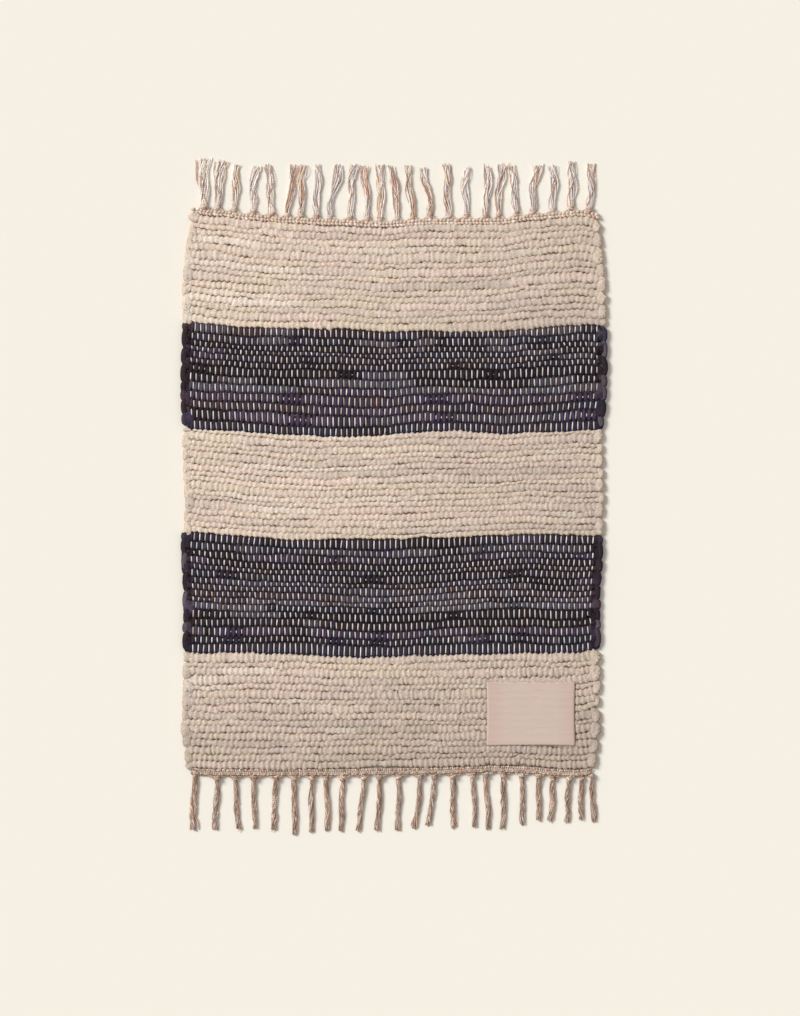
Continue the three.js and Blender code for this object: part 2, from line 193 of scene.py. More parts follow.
# The sizes that both rags have: the name and the kind, what it is, and its value for the natural
# and for the dark rag.
RAG_SIZES = (
    ("Bead", share, "How square the weft swells between two crossings, lower is fuller", 0.6, 0.6),
    ("Swell", share, "How much wider the weft is between two crossings", 0.17, 0.16),
    ("Margin", amount, "Warp spaces from the last end to the turn", 1.9, 0.9),
    ("Loop", share, "How full the loops at the sides are", 1.06, 0.92),
    ("Square", share, "How square the loops are, lower is squarer", 0.2, 0.18),
    ("Stand", length, "How far the loops stand out beyond the side", 0.9 * MM, 0.3 * MM),
    ("Rough", length, "How unevenly high the swellings are", 0.7 * MM, 0.35 * MM),
    ("Shift", length, "How far the swellings stray along the strip", 0.8 * MM, 0),
    ("Stray", length, "How far the swellings stray across the strip", 0.5 * MM, 0.3 * MM),
    ("Bulging", share, "How much thicker and thinner the strip grows", 0.05, 0.05),
    ("Slack", share, "How smooth the weft runs where the warp grips it least", 0.3, 0.0),
    ("Merge", share, "How much two swellings can run together", 0.4, 0.0),
    ("Press", share, "How wide the strip is in its pick, above 1 it overlaps its neighbours", 1.07, 1.05),
    # How strongly the rag takes the painted shade towards the near end and the right side.
    ("Soil", share, "How much the soiled places show", 1.0, 0.5),
    ("Rib", share, "How narrow the light middle of a swelling is, higher is narrower", 1.0, 2.2),
    ("Crossing", share, "How much light the weft gets where a warp end crosses it", 0.93, 0.3),
    ("Pinch", length, "Height of the weft's top where a warp end crosses over it", 5.6 * MM, 5.4 * MM),
    ("Warp width", length, "Width of a warp end where it crosses over", 1.9 * MM, 2.05 * MM),
    ("Warp lift", length, "Height of a warp end's middle where it crosses over", 3.6 * MM, 6.7 * MM),
    ("Uneven", share, "How much lighter or darker one strip is than another", 0.035, 0.1),
)


def rag_sizes(column):
    """The sizes of one rag as properties, from its column in the table."""
    return {
        name.lower().replace(" ", "_"): kind(name, values[column], description)
        for name, kind, description, *values in RAG_SIZES
    }


class NaturalRagSettings(bpy.types.PropertyGroup):
    """The unbleached rag weft."""

    __annotations__.update(rag_sizes(0))
    unbleached: dye("Unbleached", "#e3d3c4", "Most of the weft")
    bleached: dye("Bleached", "#e8dccf", "The palest strips")
    blush: dye("Blush", "#e3d1c5", "Strips that are a little pink")
    sage: dye("Sage", "#dfd1c0", "Strips that are a little green")
    ash: dye("Ash", "#dccdc1", "Strips that are a little grey")
    # The valley dye is painted shade for the sides of the strip.
    valley: dye("Valley", "#ead9c8", "What dims the sides of the strip, where light comes back off it")


class DarkRagSettings(bpy.types.PropertyGroup):
    """The dark rag weft."""

    __annotations__.update(rag_sizes(1))
    black: dye("Black", "#342c30", "Most of the weft")
    ink: dye("Ink", "#3f3a45", "Blue strips")
    violet: dye("Violet", "#534758", "Violet strips")
    aubergine: dye("Aubergine", "#4b3d41", "Red brown strips")
    slate: dye("Slate", "#5b555d", "Grey strips")
    # The valley dye is painted shade for the sides of the strip.
    valley: dye("Valley", "#6f666f", "What dims the sides of the strip, where little light comes back")


class WarpSettings(bpy.types.PropertyGroup):
    """The cotton warp."""

    ends: IntProperty(name="Ends", description="Warp ends across the rug", default=150, min=4)
    reach: share("Reach", 0.952, "How much of the half width the warp covers")
    thickness: length("Thickness", 1.7 * MM, "Thickness of a warp end")
    cream: dye("Cream", "#e6deda", "Most of the warp")
    straw: dye("Straw", "#d2c9be", "Yellower ends")
    rust: dye("Rust", "#d8bdad", "A few stained places")
    sea: dye("Sea", "#c6cac9", "A few blue green places")


class FringeSettings(bpy.types.PropertyGroup):
    """The tassels and the twined row they hang from."""

    taupe: dye("Taupe", "#b8a191", "Brown grey strands")
    terracotta: dye("Terracotta", "#c9a28d", "Red brown strands")
    tan: dye("Tan", "#dbc5b2", "Light brown strands")
    fog: dye("Fog", "#d6ccc9", "Grey strands")
    umber: dye("Umber", "#a58876", "Dark strands")
    chalk: dye("Chalk", "#e8dcd3", "Pale strands")


class PatchSettings(bpy.types.PropertyGroup):
    """The bare sewn patch."""

    bow: length("Bow", 1.2 * MM, "How far the edges curve in between the corners")
    stitch: length("Stitch", 2.6 * MM, "Length of a stitch")
    middle: dye("Middle", "#d0bbad", "The middle of the patch")
    side: dye("Side", "#cdb2a6", "The sides of the patch")
    drawn: dye("Drawn", "#c98f7c", "The drawn threads of the tape")
    thread: dye("Thread", "#a3766a", "The sewing thread")


class StudioSettings(bpy.types.PropertyGroup):
    """The floor, the lights and the camera."""

    floor: dye("Floor", "#f6f0e4", "The floor")
    sun: amount("Sun", 2.87, "Strength of the soft light from the left")
    sky: amount("Sky", 0.43, "Strength of the light all round")
    frame_height: length("Frame height", 1.4376, "What the camera sees from the near to the far side")


class ChindiRugSettings(bpy.types.PropertyGroup):
    """All the sizes and colours of the rug."""

    natural: PointerProperty(type=NaturalRagSettings)
    dark: PointerProperty(type=DarkRagSettings)
    warp: PointerProperty(type=WarpSettings)
    fringe: PointerProperty(type=FringeSettings)
    patch: PointerProperty(type=PatchSettings)
    studio: PointerProperty(type=StudioSettings)


def between(table, key, column, place):
    """A smooth value between the rows of a table, by one column, at places in another."""
    keys = np.array([row[key] for row in table]) * MM
    values = np.array([row[column] for row in table]) * MM
    row = np.clip(np.searchsorted(keys, place) - 1, 0, len(keys) - 2)
    part = np.clip((place - keys[row]) / (keys[row + 1] - keys[row]), 0, 1)
    part = part * part * (3 - 2 * part)
    return values[row] + (values[row + 1] - values[row]) * part


CLOTH_LENGTH = 800 * MM
CLOTH_WIDTH = 600 * MM
CREST = 8 * MM
CREST_SPREAD = 0.5 * MM


def end_place(side, x):
    """Where an end of the cloth lies along Y, at places across the width."""
    offset = between(ENDS, "across", side, x)
    return CLOTH_LENGTH / 2 + offset if side == "far" else -CLOTH_LENGTH / 2 - offset


def side_place(across, y):
    """How far a side of the cloth stands from the middle, at places along the length."""
    return CLOTH_WIDTH / 2 + between(SIDES, "along", "left" if across < 0 else "right", y)


def wander(x, y):
    """How far the weave is pushed along Y by its slow waves."""
    return sum(
        wave["push"] * MM * np.sin(x / wave["across"] / MM + y / wave["along"] / MM + wave["start"])
        for wave in WAVES
    )


def cloth_point(across, y):
    """Places in the cloth: across runs from -1 to 1, and y is along it if its ends were straight."""
    half = np.where(np.asarray(across) < 0, side_place(-1, y), side_place(1, y))
    x = across * half
    part = (y + CLOTH_LENGTH / 2) / CLOTH_LENGTH
    inside = np.minimum(1, WANDER_FADE * part * (1 - part))
    near = end_place("near", x) + CLOTH_LENGTH / 2
    far = end_place("far", x) - CLOTH_LENGTH / 2
    return x, y + near + (far - near) * part + inside * wander(x, y)


def pick_seams():
    """The lines between the picks along the length, from the near end to the far end, and the
    band of each pick."""
    seams = [-CLOTH_LENGTH / 2]
    bands = []
    dice = np.random.default_rng(UNEVEN_SEED)
    for number, band in enumerate(BANDS):
        first = len(bands)
        widths = []
        for pick in range(band["picks"]):
            away = ((pick + 0.5) / band["picks"] - band["slim"]) / SLIM_REACH
            width = 1 - band["slimming"] * math.exp(-away * away)
            width += sum(b["share"] * math.sin((first + pick) * b["step"]) for b in PICK_BEATS)
            width *= WIDE_PICKS.get(band["name"], {}).get(pick, 1)
            width *= math.exp(np.clip(dice.normal(0, UNEVEN_PICKS[band["yarn"]]), *UNEVEN_REACH))
            widths.append(width)
            bands.append(number)
        scale = band["length"] * MM / sum(widths)
        for width in widths:
            seams.append(seams[-1] + width * scale)
    return np.array(seams), np.array(bands)


SEAMS, PICK_BAND = pick_seams()
LAST_PICK = len(PICK_BAND) - 1

# How far the line between two picks strays, in millimetres, so that each pick grows thick and
# thin along its way. Lumps are where a strip was joined or folded and pushes the line aside.
STRAY = table_rows("push across", (0.9, 95), (0.8, 41), (0.5, 17), (0.35, 7))
STRAY_SEED = 5
STRAY_DICE = np.random.default_rng(STRAY_SEED)
STRAY_STARTS = STRAY_DICE.uniform(0, 2 * np.pi, (len(SEAMS), len(STRAY)))
LUMP = {"push": 1.3 * MM, "least": 3 * MM, "most": 9 * MM}
LUMPS = (len(SEAMS), 4)
LUMP_PLACES = STRAY_DICE.uniform(-CLOTH_WIDTH / 2, CLOTH_WIDTH / 2, LUMPS)
LUMP_PUSHES = STRAY_DICE.normal(0, LUMP["push"], LUMPS)
LUMP_REACHES = STRAY_DICE.uniform(LUMP["least"], LUMP["most"], LUMPS)

# Where dark rag bulges over the warp: how unlike the picks are, how high its two waves together
# have to be and over how much more it closes over, and how high and how long the waves are.
COVER = {"bias": 0.22, "least": 0.7, "fade": 0.4, "heights": (0.55, 0.45), "lengths": (31 * MM, 11 * MM)}
COVER_STARTS = STRAY_DICE.uniform(0, 2 * np.pi, (len(SEAMS), 2))
COVER_BIAS = STRAY_DICE.normal(0, COVER["bias"], len(SEAMS))

# The joins of the natural strips: how short and long a folded place is, how many of the places
# are folded, and how much narrower, lower and further along the rug one lies than its pick.
CREASE = {
    "least": 4 * MM, "most": 11 * MM, "share": 0.3, "narrow": 0.1, "low": 1.1 * MM, "push": 0.6 * MM,
}
CREASES = (len(SEAMS), 2)
CREASE_PLACES = STRAY_DICE.uniform(-CLOTH_WIDTH / 2, CLOTH_WIDTH / 2, CREASES)
CREASE_REACHES = STRAY_DICE.uniform(CREASE["least"], CREASE["most"], CREASES)
CREASE_DEPTHS = STRAY_DICE.uniform(0, 1, CREASES) < CREASE["share"]


def seam_place(number, x):
    """Where the line between two picks lies along the cloth, at places across the width."""
    stray = sum(
        wave["push"] * MM * np.sin(x / wave["across"] / MM + start)
        for wave, start in zip(STRAY, STRAY_STARTS[number])
    )
    lumps = sum(
        push * np.exp(-((x - place) / reach) ** 2)
        for place, push, reach in zip(LUMP_PLACES[number], LUMP_PUSHES[number], LUMP_REACHES[number])
    )
    return SEAMS[number] + stray + lumps


def crease(number, x):
    """How far a pick of natural rag is folded under at its joins, from 0 to 1, at places across
    the width."""
    if BANDS[PICK_BAND[number]]["yarn"] == "dark":
        return np.zeros(np.shape(x))
    return sum(
        depth * np.exp(-((x - place) / reach) ** 4)
        for place, reach, depth in zip(CREASE_PLACES[number], CREASE_REACHES[number], CREASE_DEPTHS[number])
    )


def cover(number, x):
    """How far a pick of dark rag bulges over the warp, from 0 to 1, at places across the width. It
    doesn't beside natural rag."""
    if not PICK_BAND[number - 1] == PICK_BAND[number] == PICK_BAND[number + 1]:
        return np.zeros(np.shape(x))
    waves = zip(COVER["heights"], COVER["lengths"], COVER_STARTS[number])
    wave = sum(high * np.sin(x / long + start) for high, long, start in waves)
    return np.clip((wave + COVER_BIAS[number] - COVER["least"]) / COVER["fade"], 0, 1)


# Painted shade: the rug's dye is darkened towards its near end and its right side. How much of the colour
# is left, at distances from the middle of the length, and how much less or more at the sides.
PAINTED_SHADE = table_rows(
    "along left",
    (-400, 0.72), (-350, 0.79), (-300, 0.85), (-240, 0.91), (0, 0.97), (240, 0.98),
)
PAINTED_SHADE_ACROSS = 0.11


def painted_light_share(x, y):
    """How much of its colour the cloth keeps under the painted shade, at places in it."""
    along = np.interp(y, [row["along"] * MM for row in PAINTED_SHADE], [row["left"] for row in PAINTED_SHADE])
    return along * (1 - PAINTED_SHADE_ACROSS * x / (CLOTH_WIDTH / 2))


# The patch is sewn down tight: how far it presses the cloth and over what distance outside it.
PATCH_PRESS = 1.3 * MM
PRESS_MARGIN = 1 * MM


def pressed(x, y):
    """How far the patch presses the cloth down, at places in it."""
    half = (PATCH_HIGH - PATCH_LOW) / 2
    beside = (half.x + PRESS_MARGIN - np.abs(x - PATCH_PLACE[0] * MM)) / PRESS_MARGIN
    beyond = (half.y + PRESS_MARGIN - np.abs(y - PATCH_PLACE[1] * MM)) / PRESS_MARGIN
    return PATCH_PRESS * np.clip(np.minimum(beside, beyond), 0, 1)


class Strands:
    """Closed tubes gathered into one mesh: points, faces, a dye for each point and, for each
    corner of a face, how far it lies round and along its tube."""

    def __init__(self):
        self.points = []
        self.dyes = []
        self.corners = []
        self.starts = []
        self.rounds = []
        self.count = 0
        self.corner_count = 0

    def add(self, rings, dyes, along, tints=((1, 1, 1),)):
        """Adds one tube, given as rings of points, a dye for each ring or one for all, and each
        ring's place along the tube. The tints, one for each point of a ring, change the dye
        round the tube."""
        steps, around = rings.shape[:2]
        index = self.count + np.arange(steps * around).reshape(steps, around)
        turned = np.roll(index, -1, axis=1)
        quads = np.stack([index[:-1], index[1:], turned[1:], turned[:-1]], axis=-1).reshape(-1, 4)
        step, side = (grid.ravel() for grid in np.mgrid[0:steps - 1, 0:around])
        across = np.stack([side, side, side + 1, side + 1], axis=-1) / around
        up = np.stack([along[step], along[step + 1], along[step + 1], along[step]], axis=-1)
        self.points.append(rings.reshape(-1, 3))
        tinted = np.broadcast_to(dyes, (steps, 3))[:, None] * np.broadcast_to(tints, (around, 3))
        self.dyes.append(tinted.reshape(-1, 3))
        self.corners.append(quads.ravel())
        self.starts.append(self.corner_count + 4 * np.arange(len(quads)))
        self.rounds.append(np.stack([across.ravel(), up.ravel()], axis=-1))
        self.corner_count += quads.size
        for ring, place in ((index[0], along[0]), (index[-1][::-1], along[-1])):
            self.corners.append(ring)
            self.starts.append(np.array([self.corner_count]))
            self.rounds.append(np.stack([np.arange(around) / around, np.full(around, place)], axis=-1))
            self.corner_count += around
        self.count += steps * around

    def cord(self, points, radius, sides, dyes, flat=1.0):
        """Adds one round strand along a line of points."""
        self.add(round_tube(points, radius, sides, flat), dyes, running_length(points))

    def piece(self, name, material):
        """The gathered tubes as a smooth object in the rug's frame."""
        mesh = bpy.data.meshes.new(name)
        points = np.concatenate(self.points) + np.array(CLOTH_MIDDLE) * (1, 1, 0)
        corners = np.concatenate(self.corners)
        starts = np.concatenate(self.starts)
        mesh.vertices.add(len(points))
        mesh.vertices.foreach_set("co", points.ravel())
        mesh.loops.add(len(corners))
        mesh.loops.foreach_set("vertex_index", corners)
        mesh.polygons.add(len(starts))
        mesh.polygons.foreach_set("loop_start", starts)
        mesh.update(calc_edges=True)
        mesh.shade_smooth()
        bake_map(mesh)
        rounds = mesh.uv_layers.new(name="strand")
        rounds.uv.foreach_set("vector", np.concatenate(self.rounds).ravel())
        paint(mesh, np.concatenate(self.dyes))
        return finished(name, mesh, material)


# How wide each half of a map is and where the second one starts, so that the two stay apart.
MAP_HALF = {"width": 0.49, "start": 0.505}


def read(items, name, width, kind=float):
    """A value of every item of a mesh, as one flat array."""
    values = np.empty(len(items) * width, kind)
    items.foreach_get(name, values)
    return values


def bake_map(mesh):
    """A flat map of the piece: the faces that look up in its left half, the others in its right."""
    places = read(mesh.vertices, "co", 3).reshape(-1, 3)[:, :2]
    corners = read(mesh.loops, "vertex_index", 1, np.int32)
    normals = read(mesh.polygons, "normal", 3).reshape(-1, 3)
    down = np.repeat(normals[:, 2] < 0, read(mesh.polygons, "loop_total", 1, np.int32))
    low, high = places.min(0), places.max(0)
    flat = (places[corners] - low) / (high - low)
    short = int(high[0] - low[0] > high[1] - low[1])
    flat[:, short] = flat[:, short] * MAP_HALF["width"] + MAP_HALF["start"] * down
    layer = mesh.uv_layers.new(name="OFBake")
    layer.uv.foreach_set("vector", flat.ravel())


def paint(mesh, dyes):
    """Gives each point of a mesh its dye."""
    attribute = mesh.color_attributes.new(name="dye", type="FLOAT_COLOR", domain="POINT")
    colours = np.ones((len(dyes), 4))
    colours[:, :3] = dyes
    attribute.data.foreach_set("color", colours.ravel())


def finished(name, mesh, material):
    """An object of that mesh and material, in the scene."""
    piece = bpy.data.objects.new(name, mesh)
    bpy.context.scene.collection.objects.link(piece)
    mesh.materials.append(material)
    return piece


def dyed(places, lots, lengths, dice, spread):
    """Dyes at places along a strip that was joined from random lots, each a little lighter or
    darker than the last. The lots are a palette and how much of each dye there is."""
    palette, weights = lots
    total = places[-1] - places[0]
    joins = places[0] + np.cumsum(dice.uniform(*lengths, int(total / lengths[0]) + 2))
    picked = dice.choice(len(palette), len(joins) + 1, p=np.array(weights) / sum(weights))
    shades = 1 + dice.normal(0, spread, len(picked))
    lot = np.searchsorted(joins, places)
    return np.array(palette)[picked[lot]] * shades[lot][:, None]


def one_dye(lots, dice, spread):
    """The dye of a strand that is too short for a join."""
    return dyed(np.array([0, 1.0]), lots, (2, 3), dice, spread)[0]


def running_length(points):
    """How far along a line each of its points lies."""
    return np.concatenate([[0], np.cumsum(np.linalg.norm(np.diff(points, axis=0), axis=1))])


def round_tube(points, radius, sides, flat=1.0):
    """Rings of points round a line, as wide as the radius and as tall as flat times that."""
    points = np.asarray(points, float)
    radius = np.broadcast_to(np.asarray(radius, float), len(points))
    heading = np.gradient(points, axis=0)
    heading /= np.linalg.norm(heading, axis=1)[:, None]
    side = np.cross(heading, (0, 0, 1))
    weak = np.linalg.norm(side, axis=1) < 0.05
    side[weak] = np.cross(heading[weak], (0, 1, 0))
    side /= np.linalg.norm(side, axis=1)[:, None]
    up = np.cross(side, heading)
    turn = np.linspace(0, 2 * np.pi, sides, endpoint=False)
    wide = side[:, None] * np.cos(turn)[None, :, None]
    tall = up[:, None] * np.sin(turn)[None, :, None] * flat
    return points[:, None] + (wide + tall) * radius[:, None, None]


# The section of the weft: across it and, above or below its middle, the share of its height, and how deep
# in the valley between two picks each point lies, which is how much of the valley dye it takes as painted
# shade.
WEFT_RING = {
    "natural": np.array([
        (1, 0.34), (0.78, 0.78), (0.3, 1), (-0.3, 1), (-0.78, 0.78), (-1, 0.34), (-0.5, -1), (0.5, -1),
    ]),
    "dark": np.array([
        (1, 0.05), (0.84, 0.66), (0.34, 1), (-0.34, 1), (-0.84, 0.66), (-1, 0.05), (-0.5, -1), (0.5, -1),
    ]),
}
VALLEY = np.array([1, 0.35, 0, 0, 0.35, 1, 1, 1])

# The places of the weft's sections from the middle of one swelling on, in warp ends. Natural
# rag closes over the warp, and dark rag leaves it a flat seat.
SWELL_STEPS = {"natural": np.array([0, 0.5, 1, 1.5]), "dark": np.array([0, 0.42, 0.78, 1.22, 1.58])}
# How unevenly wide the swellings are.
UNEVEN_SWELLS = 0.06
# Over what distances a pick grows thick and thin, and the warp grips it more and less.
DRIFT = {"bulk": 25 * MM, "grip": 40 * MM}
# How much less the warp pulls in a pick that bulges over it.
COVER_EASE = 0.25


def warp_across(warp, units):
    """Where a place counted in warp ends lies across the cloth, from -1 to 1."""
    return warp.reach * (2 * units / (warp.ends - 1) - 1)


def drift(x, dice, scale):
    """A slow random change between -1 and 1 along a pick, over about that distance."""
    marks = np.arange(-CLOTH_WIDTH * 0.6, CLOTH_WIDTH * 0.6 + scale, scale)
    return np.interp(x, marks + dice.uniform(0, scale), dice.uniform(-1, 1, len(marks)))


def pick_run(number, rag, warp, dice):
    """The weft of one pick from left to right: its middle line, half width, top, bottom and how
    near each place is to the middle of a swelling."""
    band = BANDS[PICK_BAND[number]]
    first = number % 2
    middles = np.arange(first - 4, warp.ends + 4, 2)
    units = (middles[:, None] + SWELL_STEPS[band["yarn"]]).ravel()
    units = units[(units > -rag.margin) & (units < warp.ends - 1 + rag.margin)]
    swing = np.cos(np.pi * (units - first))
    over = (0.5 + 0.5 * swing) ** rag.bead
    under = (0.5 - 0.5 * swing) ** rag.bead
    across = warp_across(warp, units)
    x = across * CLOTH_WIDTH / 2
    low = seam_place(number, x)
    high = seam_place(number + 1, x)
    x, y = cloth_point(across, (low + high) / 2)

    def astray(spread):
        return np.interp(units, middles, dice.normal(0, spread, len(middles)))

    x = x + astray(1) * rag.shift
    y = y + astray(1) * rag.stray
    folded = crease(number, x)
    y = y + CREASE["push"] * folded
    bulk = drift(x, dice, DRIFT["bulk"])
    wide = rag.press + astray(UNEVEN_SWELLS) + rag.bulging * bulk - CREASE["narrow"] * folded
    roll = (1 + np.sin(number * CREST_ROLL["step"] + x / CREST_ROLL["across"] / MM)) / 2
    low_spots = np.interp(units, middles, np.abs(dice.normal(0, rag.rough, len(middles))))
    crest = CREST - CREST_SPREAD * roll - low_spots + rag.bulging * bulk * MM - pressed(x, y)
    crest = crest - CREASE["low"] * folded
    grip = band["relief"] * (1 - rag.slack * (0.5 + 0.5 * drift(x, dice, DRIFT["grip"])) ** 2)
    grip = grip * np.interp(units, middles + 1, dice.uniform(1 - rag.merge, 1, len(middles)))
    if band["yarn"] == "dark":
        grip = grip * (1 - COVER_EASE * cover(number, x))
    top = crest - (crest - rag.pinch) * (1 - over) * grip
    bottom = (CREST - rag.pinch) * (1 - under)
    half = (high - low) / 2 * (1 + rag.swell * swing) * wide
    return np.stack([x, y, half, top, bottom, over], axis=-1)


# The turns of the weft at the sides: steps round a turn, how far its first and its second arm
# lie above their middle height, how far it slumps towards the near end on each side, how far the
# least proud one is drawn in, and how much further along the side the least and the proudest one
# spread. In natural rag the second arm lies under the first, and in dark rag over it.
TURN_STEPS = 11
TURN_LIFT = {"natural": (0.7 * MM, -1.1 * MM), "dark": (-0.8 * MM, 0.5 * MM)}
TURN_SLUMP = {
    "natural": {-1: (4.5 * MM, 9.5 * MM), 1: (-0.5 * MM, 3.5 * MM)},
    "dark": {-1: (-1.2 * MM, 3.2 * MM), 1: (-1.2 * MM, 3.2 * MM)},
}
TURN_DRAWN = 1.1 * MM
TURN_SPREAD = (0.2, 0.55)
# How near the low end of its band a turn may slump, how wide the least proud one is for its gap
# and how much wider the proudest, how much of that lies outside the side, how far it stands out
# at least, how unlike its arms are, how wide its arms are and how much wider its bend, how
# square the bend is, how far the least proud one sinks, how far its top lies below the crest,
# and how low its bottom may lie and mostly lies.
TURN = {
    "room": 4 * MM, "narrow": 0.84, "proud": 0.32, "outside": 0.96, "least_out": 0.6 * MM, "unlike": 0.12,
    "arm": 0.86, "bend": 0.5, "corner": 0.45, "sink": 0.9 * MM, "below": 0.4 * MM, "floor": 0.3 * MM,
    "bottom": 1.0 * MM,
}
# Painted light and shade on the turns: how much their dye is lightened or darkened on each side, and over
# what width in from the side, of which the last part fades.
TURN_PAINTED_LIGHT = {"natural": {-1: 0.9, 1: 1.1}, "dark": {-1: 1.15, 1: 1.05}}
TURN_WIDTH = {"all": 11 * MM, "fade": 4 * MM}
# How near the middle of a swelling a turn counts as, for its painted light.
TURN_OVER = 0.75


def turn_run(start, end, side, rag, yarn, low, dice):
    """The weft round one side, from the end of a pick to the start of the next. A proud turn
    stands out and lies over its neighbours, and the others are drawn in. None slumps past the
    low end of its band."""
    proud = dice.uniform(0, 1)
    room = max(0, min(start[1], end[1]) - low - TURN["room"])
    slump = min(room, dice.uniform(*TURN_SLUMP[yarn][side]))
    round_it = np.linspace(0, np.pi, TURN_STEPS + 2)[1:-1]
    out_share = np.sin(round_it) ** rag.square
    middle = (start[1] + end[1]) / 2
    gap = end[1] - start[1]
    half = gap * 0.5 * rag.loop * (TURN["narrow"] + TURN["proud"] * proud)
    edge = side * side_place(side, np.array([middle]))[0]
    out = abs(edge - start[0]) - half * TURN["outside"] - TURN_DRAWN * (1 - proud) + rag.stand
    out = max(TURN["least_out"], out)
    uneven = 1 + TURN["unlike"] * dice.normal(0, 1) * np.cos(round_it)
    wide = half * (TURN["arm"] + TURN["bend"] * np.sin(round_it) ** 6)
    drawn = wide - half * TURN["arm"]
    x = start[0] + (end[0] - start[0]) * round_it / np.pi + side * (out * out_share * uneven - drawn)
    spread = 1 + np.interp(proud, (0, 1), TURN_SPREAD) * np.sin(round_it)
    swing = np.sign(np.cos(round_it)) * np.abs(np.cos(round_it)) ** TURN["corner"]
    y = middle - gap / 2 * swing * spread - slump * np.sin(round_it)
    lifted = 0.5 + 0.5 * proud if yarn == "natural" else proud
    lift = np.interp(round_it, (0, np.pi), TURN_LIFT[yarn]) * lifted
    lift = lift - TURN["sink"] * (1 - proud)
    top = CREST - TURN["below"] + lift
    bottom = np.maximum(TURN["floor"], TURN["bottom"] + lift)
    return np.stack([x, y, wide, top, bottom, np.full(TURN_STEPS, TURN_OVER)], axis=-1)


TAIL_STEPS = 6


def tail_run(start, side, slump):
    """The loose end of a strip, past the last warp end, that slumps so far along the side."""
    out = np.linspace(0, 1, TAIL_STEPS + 1)[1:]
    reach = abs(side * side_place(side, np.array([start[1]]))[0] - start[0]) - 0.8 * MM
    x = start[0] + side * reach * out
    y = start[1] + slump * out ** 1.5
    round_off = np.sqrt(1 - (out * 0.96) ** 4)
    wide = (start[2] + abs(slump) * 0.25 * out) * round_off
    middle = (start[3] + start[4]) / 2
    tall = (start[3] - start[4]) / 2 * round_off
    return np.stack([x, y, wide, middle + tall, middle - tall, np.full(TAIL_STEPS, TURN_OVER)], axis=-1)


def weft_rings(run, section):
    """Rings of points along a weft, from its middle line, half width, top and bottom."""
    x, y, half, top, bottom = run.T[:5]
    heading = np.gradient(run[:, :2], axis=0)
    heading /= np.linalg.norm(heading, axis=1)[:, None]
    rings = np.empty((len(run), len(section), 3))
    rings[:, :, 0] = x[:, None] + heading[:, 1:2] * half[:, None] * section[:, 0]
    rings[:, :, 1] = y[:, None] - heading[:, 0:1] * half[:, None] * section[:, 0]
    rings[:, :, 2] = (top + bottom)[:, None] / 2 + (top - bottom)[:, None] / 2 * section[:, 1]
    return rings


# Other lots break into a pick's own lot of dark rag in runs of about that length. How much of it
# is kept, and how much darker and lighter one pick's lot is than another's.
LOT_RUN = 45 * MM
PLANNED_SHARE = 0.62
PLANNED_SHADES = (0.88, 1.24)

# The knotted rows at the two ends take the place of the first and the last pick.
ROW_PICKS = {"near": 0, "far": LAST_PICK}
CORNER_SLUMP = 6 * MM


def weft_band(number, lot, warp, dice):
    """One band of the weave: a single strip that runs to and fro from side to side. Its pinches and the
    valleys between its picks are painted darker than its swellings, as painted shade."""
    name, yarn, count = (BANDS[number][key] for key in ("name", "yarn", "picks"))
    rag = lot["rag"]
    picks = np.flatnonzero(PICK_BAND == number)
    first = int(picks[0])
    runs = []
    for pick in picks:
        if pick in ROW_PICKS.values():
            continue
        run = pick_run(pick, rag, warp, dice)
        rightward = (pick - first) % 2 == 1
        if not rightward:
            run = run[::-1]
        side = -1 if rightward else 1
        if runs:
            runs.append(turn_run(runs[-1][-1], run[0], side, rag, yarn, SEAMS[first], dice))
        else:
            runs.append(tail_run(run[0], side, -CORNER_SLUMP if number == 0 else 0)[::-1])
        runs.append(run)
    last = number == len(BANDS) - 1
    runs.append(tail_run(runs[-1][-1], -side, CORNER_SLUMP if last else 0))
    run = np.concatenate(runs)
    along = running_length(run[:, :2])
    dyes = dyed(along, lot["lots"], lot["lengths"], dice, rag.uneven)
    if name in DARK_PICKS:
        pick = np.clip(np.searchsorted(SEAMS, run[:, 1]) - 1 - first, 0, count - 1)
        planned = np.array(palette_of(rag, *DARK_PICKS[name]))[pick]
        marks = np.arange(0, along[-1] + LOT_RUN, LOT_RUN)
        kept = np.interp(along, marks, dice.uniform(0, 1, len(marks)))[:, None] < PLANNED_SHARE
        dyes = np.where(kept, planned * dice.uniform(*PLANNED_SHADES, count)[pick, None], dyes)
    # Painted shade towards the near end and the right side of the rug.
    dyes = dyes * (painted_light_share(run[:, 0], run[:, 1]) ** rag.soil)[:, None]
    # Painted light and shade on the turns at each side.
    for side, light in TURN_PAINTED_LIGHT[yarn].items():
        inward = side_place(side, run[:, 1]) - side * run[:, 0]
        at_side = np.clip((TURN_WIDTH["all"] - inward) / TURN_WIDTH["fade"], 0, 1)
        dyes = dyes * (1 + (light - 1) * at_side)[:, None]
    # Painted shade at the pinches where the warp crosses: only the middle of a swelling keeps its full
    # colour.
    dyes = dyes * (rag.crossing + (1 - rag.crossing) * run[:, 5:6] ** rag.rib)
    strands = Strands()
    strands.add(weft_rings(run, WEFT_RING[yarn]), dyes, along, valley_tints(rag))
    if yarn == "dark":
        for side in (-1, 1):
            side_lobes(strands, picks[[0, -1]], side, lot, dice)
    return strands


def valley_tints(rag):
    """How much painted light each point of the weft's section keeps: the valley dye darkens its sides and
    bottom as painted shade.
    """
    return 1 - (1 - np.array(rag.valley)) * VALLEY[:, None]


